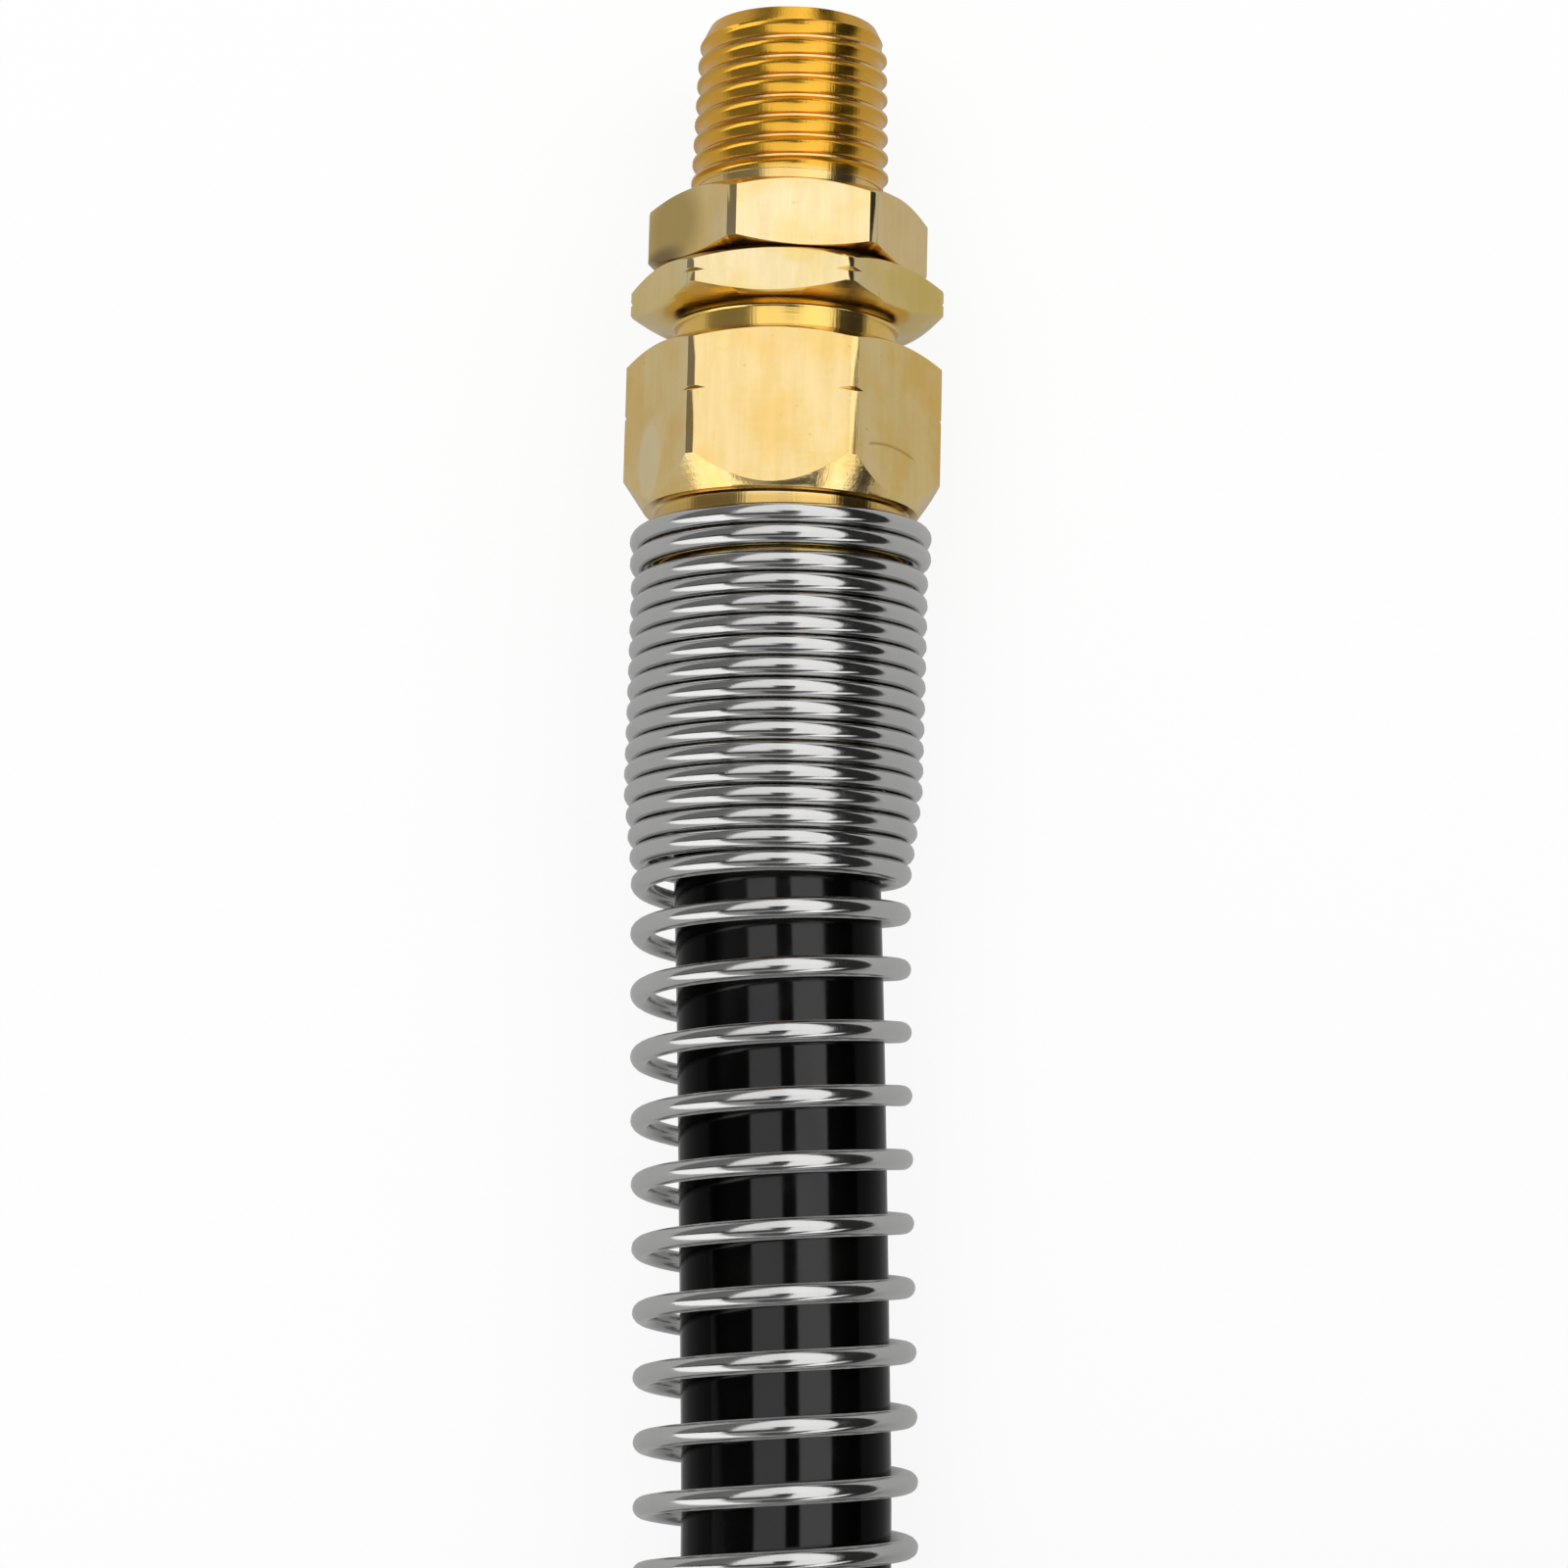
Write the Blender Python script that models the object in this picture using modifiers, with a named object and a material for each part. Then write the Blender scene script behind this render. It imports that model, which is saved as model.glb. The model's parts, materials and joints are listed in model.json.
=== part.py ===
# Recoil air hose: a coiled polyurethane hose with a male swivel fitting and a wire bend guard at each end.
# It lies as it comes to rest: the coil on its side, both ends straight out along the ground.
# Lengths along a fitting are measured from its thread tip, back towards the hose.

import math

import bmesh
import bpy
from mathutils import Matrix, Vector

MM = 0.001
MERGE_DISTANCE = 0.001 * MM

# Clearances
FIT_GAP = 0.3 * MM          # between pieces that touch on the real hose
SEAT_GAP = 0.25 * MM        # between the guard's wire and the nut's barrel

# Hose
HOSE_R = 7.0 * MM
HOSE_BORE_R = 5.0 * MM
COIL_R = 61.8 * MM          # from the coil's axis to the middle of the hose
COIL_TURNS = 11
COIL_PITCH = 14.3 * MM
COIL_START_X = 3.2 * MM     # from the fitting's axis to the side, where the first turn starts
COIL_FROM_TIP = 181.0 * MM  # from the near thread tip to the coil's axis, along the ground
COIL_STEPS = 40
COIL_EDGE_ROUND = 5.0 * MM
TAIL_STEPS = 14

# Swivel stem: a 1/4 in tapered pipe thread, a hexagon and a smooth journal
AIR_BORE_R = 3.2 * MM
TIP_R = 5.9 * MM
TIP_CHAMFER = 0.6 * MM
THREAD_R = 6.5 * MM         # crests, at the tip
THREAD_TAPER = 1 / 32       # growth of the radius for each unit of length
THREAD_LENGTH = 11.6 * MM
RELIEF_R = 6.45 * MM
RELIEF_LENGTH = 1.15 * MM
STEM_HEX_FLATS = 17.0 * MM
STEM_HEX_LENGTH = 4.9 * MM
STEM_HEX_TURN = 6.5         # degrees, from flat side up
JOURNAL_R = 5.4 * MM
JOURNAL_LENGTH = 10.25 * MM

# Grooves in the journal, from the stem hexagon's lower face
RING_GROOVE_FROM = 2.45 * MM
RING_GROOVE_WIDTH = 1.4 * MM
RING_GROOVE_R = 4.4 * MM
ORING_GROOVE_FROM = (4.75 * MM, 7.3 * MM)
ORING_GROOVE_WIDTH = 1.7 * MM
ORING_GROOVE_R = 4.0 * MM

# Hose body: a thin hexagon collar, a neck, the nut's thread and the ribbed insert
BODY_HEX_FLATS = 19.0 * MM
BODY_HEX_TURN = -6.8        # degrees
COLLAR_TOP_R = 9.3 * MM
COLLAR_LAND = 1.25 * MM     # full height of the collar's corners
COLLAR_BOTTOM_R = 8.6 * MM
WASHER_R = 7.1 * MM
WASHER_THICK = 0.9 * MM
NECK_R = 7.65 * MM
NECK_SHOWS = 1.45 * MM      # between the collar and the nut
NUT_THREAD_R = 8.0 * MM
NUT_THREAD_LENGTH = 6.2 * MM
INSERT_R = 4.4 * MM
RIB_R = 4.7 * MM
RIB_COUNT = 4
RIB_PITCH = 3.2 * MM
RIB_FALL = 0.6              # share of the pitch behind a rib's crest
INSERT_LENGTH = 16.9 * MM

# Clamp nut: a long hexagon and a barrel that carries the bend guard
NUT_HEX_FLATS = 19.0 * MM
NUT_HEX_TURN = -4.5         # degrees
NUT_TOP_R = 9.3 * MM
NUT_HEX_LENGTH = 11.2 * MM
NUT_CONE_LENGTH = 2.5 * MM
NUT_GROOVE_FROM = 4.75 * MM
BARREL_WALL = 1.1 * MM
BARREL_LENGTH = 17.6 * MM
BARREL_BEVEL = 0.25 * MM

# Corner groove of the collar and the nut
GROOVE_WIDTH = 0.6 * MM
GROOVE_DEPTH = 0.65 * MM

# Ferrule round the hose, inside the nut
FERRULE_LENGTH = 6.1 * MM

# Retaining ring in the swivel
RING_GAP_ANGLE = 30         # degrees
RING_POCKET_DEPTH = 0.9 * MM

# Bend guard
WIRE_R = 0.7 * MM
WIRE_SIDES = 6
WIRE_STEPS = 12             # points in a turn
PITCH_STEPS = 24            # steps in which a turn's pitch is added up
GUARD_START_ANGLE = 90      # degrees, where the wire starts at the bottom
GUARD_FROM_BARREL = 1.35 * MM
CLOSE_PITCH = 1.425 * MM
OPEN_PITCH = 4.29 * MM
SPREAD_PITCH = 1.8 * MM     # of the one turn that stands a little apart
SPREAD_FROM = 1.5           # turns before that one
LOOSE_TURNS = 2.5           # turns that stand a little wide at the start
CLOSE_TURNS = 16.5
OPEN_TURNS = 15.5
END_TURNS = 1.5
CLOSING_TURNS = 0.5         # from open to close at its end
RAMP_TURNS = 2.0            # from half open to open
GUARD_LOOSE = 0.1 * MM      # extra radius of the loose turns
GUARD_WAIST_R = 8.85 * MM   # middle of the wire, open turns
NARROWING_TURNS = 2.5       # from the barrel's width to the waist
NARROWING_LEAD = 2.0        # turns by which that starts before the open ones

CHAMFER_SLOPE = math.tan(math.radians(30))
STEM_LOWER_CHAMFER = 0.7    # of the upper one's depth
RIM_OVER = 0.15 * MM        # the turned rims stand past the hexagons' corners, which the flats cut
TURN_STEPS = 20
BORE_STEPS = 16
HOSE_SIDES = 12
ORING_SIDES = 6
EDGE_POINTS = 3             # in each rounded edge of the coil
CUT_REACH = 1.5             # how far a flat's cutter reaches out, in corner radii

# Route of the hose from its end in the nut to the coil, chosen by hand:
# how far from the tip, to the side, and above the fitting's axis, in millimetres.
HOSE_ROUTE = (
    (29.3, 0.00, 0.00),
    (40.0, 0.00, 0.00),
    (52.5, 0.00, 0.00),
    (60.0, 0.35, -0.02),
    (70.0, 0.80, -0.10),
    (81.0, 1.22, -0.32),
    (92.0, 1.62, -0.58),
    (102.0, 1.95, -0.82),
    (112.0, 2.05, -1.12),
    (126.0, 2.15, -1.52),
    (137.0, 2.30, -1.95),
)

# Middle line of the bend guard past the nut, which sags and turns with the hose.
GUARD_ROUTE = (
    (30.0, 0.00, 0.00),
    (45.0, 0.00, 0.00),
    (59.0, 0.00, 0.00),
    (70.0, 0.20, -0.08),
    (81.0, 0.55, -0.22),
    (92.0, 0.92, -0.40),
    (102.0, 1.22, -0.56),
    (112.0, 1.35, -0.70),
    (128.0, 1.38, -0.85),
)


def corner(flats):
    """Corner radius of a hexagon of this size across its flats."""
    return flats / 2 / math.cos(math.radians(30))


# Stations along the fitting, from the thread tip
STEM_HEX_TOP = THREAD_LENGTH + RELIEF_LENGTH
STEM_HEX_END = STEM_HEX_TOP + STEM_HEX_LENGTH
STEM_END = STEM_HEX_END + JOURNAL_LENGTH
BODY_TOP = STEM_HEX_END + FIT_GAP
WASHER_FLOOR = BODY_TOP + WASHER_THICK + FIT_GAP
BODY_BORE_END = STEM_END + FIT_GAP
COLLAR_LAND_TOP = BODY_TOP + (corner(BODY_HEX_FLATS) - COLLAR_TOP_R) * CHAMFER_SLOPE
COLLAR_LAND_END = COLLAR_LAND_TOP + COLLAR_LAND
COLLAR_END = COLLAR_LAND_END + (corner(BODY_HEX_FLATS) - COLLAR_BOTTOM_R) * CHAMFER_SLOPE
NUT_TOP = COLLAR_END + NECK_SHOWS
NUT_THREAD_TOP = NUT_TOP + FIT_GAP
NUT_THREAD_END = NUT_THREAD_TOP + NUT_THREAD_LENGTH
INSERT_END = NUT_THREAD_END + INSERT_LENGTH
HOSE_START = NUT_THREAD_END + FIT_GAP
FERRULE_FROM = HOSE_START + FIT_GAP
FERRULE_END = FERRULE_FROM + FERRULE_LENGTH
NUT_HEX_END = NUT_TOP + NUT_HEX_LENGTH
BARREL_END = NUT_HEX_END + BARREL_LENGTH
GUARD_FROM = NUT_HEX_END + GUARD_FROM_BARREL

# Radii that follow from their neighbours
BODY_BORE_R = JOURNAL_R + FIT_GAP
WASHER_BORE_R = JOURNAL_R + FIT_GAP
WASHER_POCKET_R = WASHER_R + FIT_GAP
ORING_WIRE_R = (BODY_BORE_R - ORING_GROOVE_R) / 2 - FIT_GAP
ORING_R = (BODY_BORE_R + ORING_GROOVE_R) / 2
RING_POCKET_R = BODY_BORE_R + RING_POCKET_DEPTH
NUT_BORE_R = NUT_THREAD_R + FIT_GAP
BARREL_BORE_R = HOSE_R + FIT_GAP
BARREL_R = BARREL_BORE_R + BARREL_WALL
WIRE_HALF = WIRE_R * math.cos(math.pi / WIRE_SIDES)
GUARD_SEAT_R = (BARREL_R + SEAT_GAP + WIRE_HALF) / math.cos(math.pi / WIRE_STEPS)
AXIS_HEIGHT = GUARD_SEAT_R + GUARD_LOOSE + WIRE_HALF


def guard_station(turn):
    """Distance of the wire from the thread tip after so many turns."""
    along = GUARD_FROM
    for k in range(int(round(turn * PITCH_STEPS))):
        along += guard_pitch((k + 0.5) / PITCH_STEPS) / PITCH_STEPS
    return along


def guard_pitch(turn):
    """Pitch of the guard at a turn: close, one turn apart, close, open, and close at its end."""
    open_end = CLOSE_TURNS + OPEN_TURNS
    if SPREAD_FROM <= turn < SPREAD_FROM + 1:
        return SPREAD_PITCH
    if turn < CLOSE_TURNS:
        return CLOSE_PITCH
    if turn < CLOSE_TURNS + RAMP_TURNS:
        share = (turn - CLOSE_TURNS) / RAMP_TURNS
        return CLOSE_PITCH + (OPEN_PITCH - CLOSE_PITCH) * (1 + share) / 2
    if turn < open_end - CLOSING_TURNS:
        return OPEN_PITCH
    if turn < open_end:
        return (OPEN_PITCH + CLOSE_PITCH) / 2
    return CLOSE_PITCH


def guard_radius(turn):
    """Radius of the wire's middle at a turn: tight on the barrel, then narrowing past its end."""
    if turn < LOOSE_TURNS:
        return GUARD_SEAT_R + GUARD_LOOSE
    narrowing = min(max((turn - CLOSE_TURNS + NARROWING_LEAD) / NARROWING_TURNS, 0), 1)
    return GUARD_SEAT_R + (GUARD_WAIST_R - GUARD_SEAT_R) * narrowing


GUARD_TURNS = CLOSE_TURNS + OPEN_TURNS + END_TURNS

# The origin is on the ground under the middle of the coil, and the two ends are a half turn apart about it.
END_X = COIL_START_X + COIL_TURNS * COIL_PITCH / 2


def clear_scene():
    for thing in list(bpy.data.objects):
        bpy.data.objects.remove(thing, do_unlink=True)


def new_collection(name):
    group = bpy.data.collections.new(name)
    bpy.context.scene.collection.children.link(group)
    return group


def new_material(name, colour, roughness, metallic):
    material = bpy.data.materials.new(name)
    material.use_nodes = True
    shader = material.node_tree.nodes["Principled BSDF"]
    shader.inputs["Base Color"].default_value = (*colour, 1)
    shader.inputs["Roughness"].default_value = roughness
    shader.inputs["Metallic"].default_value = metallic
    return material


def finish_piece(piece, material, parent):
    piece.data.materials.append(material)
    piece.parent = parent
    parts.objects.link(piece)
    return piece


def turned(name, outline, steps=TURN_STEPS):
    """A ring turned about Z from its section, given as (radius, distance from the tip) points."""
    mesh = bpy.data.meshes.new(name)
    points = [(radius, 0, -along) for radius, along in outline]
    count = len(points)
    mesh.from_pydata(points, [(k, (k + 1) % count) for k in range(count)], [])
    piece = bpy.data.objects.new(name, mesh)
    screw = piece.modifiers.new("Turn", "SCREW")
    screw.axis = "Z"
    screw.steps = steps
    screw.render_steps = steps
    screw.use_merge_vertices = True
    screw.merge_threshold = MERGE_DISTANCE
    screw.use_smooth_shade = True
    return piece


def box(name, size):
    mesh = bpy.data.meshes.new(name)
    shape = bmesh.new()
    bmesh.ops.create_cube(shape, size=1, matrix=Matrix.Diagonal((*size, 1)))
    shape.to_mesh(mesh)
    shape.free()
    return bpy.data.objects.new(name, mesh)


def hide_cutter(piece, parent):
    piece.hide_render = True
    piece.display_type = "WIRE"
    piece.parent = parent
    cutters.objects.link(piece)
    return piece


def cut(piece, cutter):
    step = piece.modifiers.new("Cut", "BOOLEAN")
    step.operation = "DIFFERENCE"
    step.solver = "EXACT"
    step.object = cutter
    return piece


def cut_flats(piece, flats, turn, top, end, parent):
    """Cuts six flats between two stations with a six-sided ring."""
    outer = corner(flats) * CUT_REACH
    inner = corner(flats)
    ring = turned(piece.name + "_flats", [(outer, top), (outer, end), (inner, end), (inner, top)], 6)
    ring.rotation_euler.z = math.radians(turn)
    return cut(piece, hide_cutter(ring, parent))


def corner_groove(radius, middle):
    """Three points of a V groove in a turned outline."""
    half = GROOVE_WIDTH / 2
    return [(radius, middle - half), (radius - GROOVE_DEPTH, middle), (radius, middle + half)]


def swivel_stem(name, parent):
    rim = corner(STEM_HEX_FLATS) + RIM_OVER
    top_r = STEM_HEX_FLATS / 2 - FIT_GAP
    bevel = (rim - top_r) * CHAMFER_SLOPE
    outline = [
        (TIP_R, 0),
        (THREAD_R + TIP_CHAMFER * THREAD_TAPER, TIP_CHAMFER),
        (THREAD_R + THREAD_LENGTH * THREAD_TAPER, THREAD_LENGTH),
        (RELIEF_R, THREAD_LENGTH),
        (RELIEF_R, STEM_HEX_TOP),
        (top_r, STEM_HEX_TOP),
        (rim, STEM_HEX_TOP + bevel),
        (rim, STEM_HEX_END - bevel * STEM_LOWER_CHAMFER),
        (top_r, STEM_HEX_END),
        (JOURNAL_R, STEM_HEX_END),
    ]
    grooves = [(RING_GROOVE_FROM, RING_GROOVE_WIDTH, RING_GROOVE_R)]
    grooves += [(start, ORING_GROOVE_WIDTH, ORING_GROOVE_R) for start in ORING_GROOVE_FROM]
    for start, width, floor in grooves:
        top = STEM_HEX_END + start
        outline += [(JOURNAL_R, top), (floor, top), (floor, top + width), (JOURNAL_R, top + width)]
    outline += [(JOURNAL_R, STEM_END), (AIR_BORE_R, STEM_END), (AIR_BORE_R, 0)]
    piece = finish_piece(turned(name, outline), brass, parent)
    return cut_flats(piece, STEM_HEX_FLATS, STEM_HEX_TURN, STEM_HEX_TOP - MM, STEM_HEX_END + MM, parent)


def stem_oring(name, start, parent):
    middle = STEM_HEX_END + start + ORING_GROOVE_WIDTH / 2
    outline = []
    for k in range(ORING_SIDES):
        angle = -2 * math.pi * k / ORING_SIDES
        outline.append((ORING_R + ORING_WIRE_R * math.cos(angle), middle - ORING_WIRE_R * math.sin(angle)))
    return finish_piece(turned(name, outline), rubber, parent)


def thrust_washer(name, parent):
    end = BODY_TOP + WASHER_THICK
    outline = [(WASHER_R, BODY_TOP), (WASHER_R, end), (WASHER_BORE_R, end), (WASHER_BORE_R, BODY_TOP)]
    return finish_piece(turned(name, outline), nylon, parent)


def retaining_ring(name, parent):
    top = STEM_HEX_END + RING_GROOVE_FROM + FIT_GAP
    end = top + RING_GROOVE_WIDTH - 2 * FIT_GAP
    outer = RING_POCKET_R - FIT_GAP
    inner = RING_GROOVE_R + FIT_GAP
    outline = [(outer, top), (outer, end), (inner, end), (inner, top)]
    piece = finish_piece(turned(name, outline), spring_steel, parent)
    width = 2 * outer * math.sin(math.radians(RING_GAP_ANGLE / 2))
    notch = box(name + "_notch", (width, 2 * (outer - inner + MM), end - top + 2 * MM))
    notch.location = (0, outer, -(top + end) / 2)
    return cut(piece, hide_cutter(notch, parent))


def hose_body(name, parent):
    rim = corner(BODY_HEX_FLATS) + RIM_OVER
    pocket = STEM_HEX_END + RING_GROOVE_FROM
    outline = [(WASHER_POCKET_R, BODY_TOP), (COLLAR_TOP_R, BODY_TOP), (rim, COLLAR_LAND_TOP)]
    outline += corner_groove(rim, (COLLAR_LAND_TOP + COLLAR_LAND_END) / 2)
    outline += [
        (rim, COLLAR_LAND_END),
        (COLLAR_BOTTOM_R, COLLAR_END),
        (NECK_R, COLLAR_END),
        (NECK_R, NUT_THREAD_TOP),
        (NUT_THREAD_R, NUT_THREAD_TOP + FIT_GAP),
        (NUT_THREAD_R, NUT_THREAD_END),
        (INSERT_R, NUT_THREAD_END),
    ]
    for k in range(RIB_COUNT):
        crest = NUT_THREAD_END + RIB_PITCH * (k + 0.5)
        outline += [(RIB_R, crest), (INSERT_R, crest + RIB_PITCH * RIB_FALL)]
    outline += [
        (INSERT_R, INSERT_END - FIT_GAP),
        (INSERT_R - FIT_GAP, INSERT_END),
        (AIR_BORE_R, INSERT_END),
        (AIR_BORE_R, BODY_BORE_END),
        (BODY_BORE_R, BODY_BORE_END),
        (BODY_BORE_R, pocket + RING_GROOVE_WIDTH),
        (RING_POCKET_R, pocket + RING_GROOVE_WIDTH),
        (RING_POCKET_R, pocket),
        (BODY_BORE_R, pocket),
        (BODY_BORE_R, WASHER_FLOOR),
        (WASHER_POCKET_R, WASHER_FLOOR),
    ]
    piece = finish_piece(turned(name, outline), brass, parent)
    return cut_flats(piece, BODY_HEX_FLATS, BODY_HEX_TURN, BODY_TOP - MM, COLLAR_END + MM, parent)


def ferrule(name, parent):
    outer = NUT_BORE_R - FIT_GAP
    inner = HOSE_R + FIT_GAP
    outline = [(outer, FERRULE_FROM), (outer, FERRULE_END), (inner, FERRULE_END), (inner, FERRULE_FROM)]
    return finish_piece(turned(name, outline), brass, parent)


def clamp_nut(name, parent):
    rim = corner(NUT_HEX_FLATS) + RIM_OVER
    cone_top = NUT_HEX_END - NUT_CONE_LENGTH
    taper_from = FERRULE_END + FIT_GAP
    outline = [(NUT_TOP_R, NUT_TOP), (rim, NUT_TOP + (rim - NUT_TOP_R) * CHAMFER_SLOPE)]
    outline += corner_groove(rim, NUT_TOP + NUT_GROOVE_FROM)
    outline += [
        (rim, cone_top),
        (NUT_HEX_FLATS / 2, NUT_HEX_END),
        (BARREL_R, NUT_HEX_END + BARREL_BEVEL),
        (BARREL_R, BARREL_END - BARREL_BEVEL),
        (BARREL_R - BARREL_BEVEL, BARREL_END),
        (BARREL_BORE_R, BARREL_END),
        (BARREL_BORE_R, taper_from + NUT_BORE_R - BARREL_BORE_R),
        (NUT_BORE_R, taper_from),
        (NUT_BORE_R, NUT_TOP),
    ]
    piece = finish_piece(turned(name, outline), brass, parent)
    return cut_flats(piece, NUT_HEX_FLATS, NUT_HEX_TURN, NUT_TOP - MM, NUT_HEX_END + MM, parent)


def route_point(route, along):
    """A point on the smooth curve through a route's own points, at a distance from the tip."""
    stations = [row[0] * MM for row in route]
    k = max(i for i in range(len(stations) - 1) if stations[i] <= along or i == 0)
    share = (along - stations[k]) / (stations[k + 1] - stations[k])
    found = []
    for column in (1, 2):
        values = [row[column] * MM for row in route]
        slopes = []
        for i in (k, k + 1):
            low = max(i - 1, 0)
            high = min(i + 1, len(route) - 1)
            slopes.append((values[high] - values[low]) / (stations[high] - stations[low]))
        width = stations[k + 1] - stations[k]
        a, b = values[k], values[k + 1]
        bend_a = 3 * (b - a) - (2 * slopes[0] + slopes[1]) * width
        bend_b = 2 * (a - b) + (slopes[0] + slopes[1]) * width
        found.append(a + slopes[0] * width * share + bend_a * share ** 2 + bend_b * share ** 3)
    side, rise = found
    return Vector((side, -rise, -along))


def bar(name, points, radius, sides, twist, tilt=0.0):
    """A round bar along a polyline, with closed ends."""
    data = bpy.data.curves.new(name, "CURVE")
    data.dimensions = "3D"
    data.twist_mode = twist
    data.bevel_depth = radius
    data.bevel_resolution = sides // 2 - 2
    data.use_fill_caps = True
    spline = data.splines.new("POLY")
    spline.points.add(len(points) - 1)
    for target, point in zip(spline.points, points):
        target.co = (*point, 1)
        target.tilt = tilt
    spline.use_smooth = True
    return bpy.data.objects.new(name, data)


def spring_guard(name, parent):
    points = []
    for k in range(int(GUARD_TURNS * WIRE_STEPS) + 1):
        turn = k / WIRE_STEPS
        along = guard_station(turn)
        middle = route_point(GUARD_ROUTE, along)
        angle = math.radians(GUARD_START_ANGLE) - 2 * math.pi * turn
        radius = guard_radius(turn)
        points.append(middle + Vector((radius * math.cos(angle), radius * math.sin(angle), 0)))
    return finish_piece(bar(name, points, WIRE_R, WIRE_SIDES, "Z_UP", math.pi / WIRE_SIDES), chrome, parent)


def as_mesh(curve):
    """The curve's surface as a mesh object, its caps welded on."""
    evaluated = curve.evaluated_get(bpy.context.evaluated_depsgraph_get())
    mesh = bpy.data.meshes.new_from_object(evaluated)
    shape = bmesh.new()
    shape.from_mesh(mesh)
    bmesh.ops.remove_doubles(shape, verts=shape.verts, dist=MERGE_DISTANCE)
    bmesh.ops.recalc_face_normals(shape, faces=shape.faces)
    shape.to_mesh(mesh)
    shape.free()
    name = curve.name
    place = curve.matrix_world.copy()
    bpy.data.objects.remove(curve, do_unlink=True)
    mesh.name = name
    piece = bpy.data.objects.new(name, mesh)
    piece.matrix_world = place
    return piece


def hose_tail(name, parent):
    """The straight end of the hose, bored for the insert at its start."""
    start = HOSE_START
    end = HOSE_ROUTE[-1][0] * MM
    count = TAIL_STEPS
    stops = [start + (end - start) * k / count for k in range(count + 1)]
    tube = bar(name, [route_point(HOSE_ROUTE, stop) for stop in stops], HOSE_R, HOSE_SIDES, "MINIMUM")
    bpy.context.scene.collection.objects.link(tube)
    bpy.context.view_layer.update()
    tail = finish_piece(as_mesh(tube), polyurethane, parent)
    depth = INSERT_END + FIT_GAP
    bore = [(HOSE_BORE_R, start - MM), (HOSE_BORE_R, depth), (0, depth), (0, start - MM)]
    drill = turned(name + "_bore", bore, BORE_STEPS)
    return cut(tail, hide_cutter(drill, parent))


def rounded_ring(inner, outer, half, round_r):
    """Section of a thick ring with quarter rounds at its four edges."""
    centres = [
        (outer - round_r, round_r - half, -90),
        (outer - round_r, half - round_r, 0),
        (inner + round_r, half - round_r, 90),
        (inner + round_r, round_r - half, 180),
    ]
    outline = []
    for radius, along, first in centres:
        for step in range(EDGE_POINTS):
            angle = math.radians(first + 90 * step / (EDGE_POINTS - 1))
            outline.append((radius + round_r * math.cos(angle), along + round_r * math.sin(angle)))
    return outline


def hose_coil(name):
    """The outer shape of the coil: a thick tube lying on its side."""
    half = COIL_TURNS * COIL_PITCH / 2 + HOSE_R
    outline = rounded_ring(COIL_R - HOSE_R, COIL_R + HOSE_R, half, COIL_EDGE_ROUND)
    coil = finish_piece(turned(name, outline, COIL_STEPS), polyurethane, None)
    coil.location = (0, 0, COIL_R + HOSE_R)
    coil.rotation_euler.y = math.radians(90)
    return coil


def end_frame(name, x, y, heading):
    """An empty at a thread tip, its Z axis along the fitting and out of the hose."""
    empty = bpy.data.objects.new(name, None)
    empty.location = (x, y, AXIS_HEIGHT)
    empty.rotation_euler = (math.radians(-90), 0, math.radians(heading))
    bpy.context.scene.collection.objects.link(empty)
    return empty


def hose_end(side, x, y, heading):
    """One end of the hose: its fitting, bend guard and straight length of hose."""
    frame = end_frame(side + "_end", x, y, heading)
    swivel = end_frame(side + "_swivel", x, y, heading)
    swivel_stem(side + "_swivel_stem", swivel)
    for number, start in enumerate(ORING_GROOVE_FROM, 1):
        stem_oring(side + "_stem_oring_" + str(number), start, swivel)
    thrust_washer(side + "_thrust_washer", frame)
    retaining_ring(side + "_retaining_ring", frame)
    hose_body(side + "_hose_body", frame)
    ferrule(side + "_ferrule", frame)
    clamp_nut(side + "_clamp_nut", frame)
    spring_guard(side + "_spring_guard", frame)
    hose_tail(side + "_hose", frame)


clear_scene()
parts = new_collection("recoil_air_hose")
cutters = new_collection("cutters")

brass = new_material("brass", (0.78, 0.57, 0.25), 0.28, 1.0)
chrome = new_material("chromed_wire", (0.72, 0.73, 0.75), 0.15, 1.0)
spring_steel = new_material("spring_steel", (0.45, 0.45, 0.46), 0.35, 1.0)
polyurethane = new_material("black_polyurethane", (0.012, 0.012, 0.013), 0.22, 0.0)
rubber = new_material("black_rubber", (0.02, 0.02, 0.02), 0.7, 0.0)
nylon = new_material("white_nylon", (0.8, 0.79, 0.74), 0.5, 0.0)

hose_end("near", -END_X, COIL_FROM_TIP, 0)
hose_end("far", END_X, -COIL_FROM_TIP, 180)
hose_coil("hose_coil")
bpy.context.view_layer.update()
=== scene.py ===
# %% [markdown]
# # A recoil air hose, dressed around its CAD frame
# The object is a coiled polyurethane hose for compressed air. Each end has a brass fitting that
# swivels, and a spring of bright wire that keeps the hose from kinking where it leaves the brass.
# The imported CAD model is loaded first. It says where every piece is, and it stays as it is. The
# lesson then makes a finer piece for each one that shows, and gives every piece its finish.

# %% Load the frame and note its size
import json
import math
from collections import Counter

import bmesh
import bpy
from mathutils import Matrix, Vector

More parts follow.
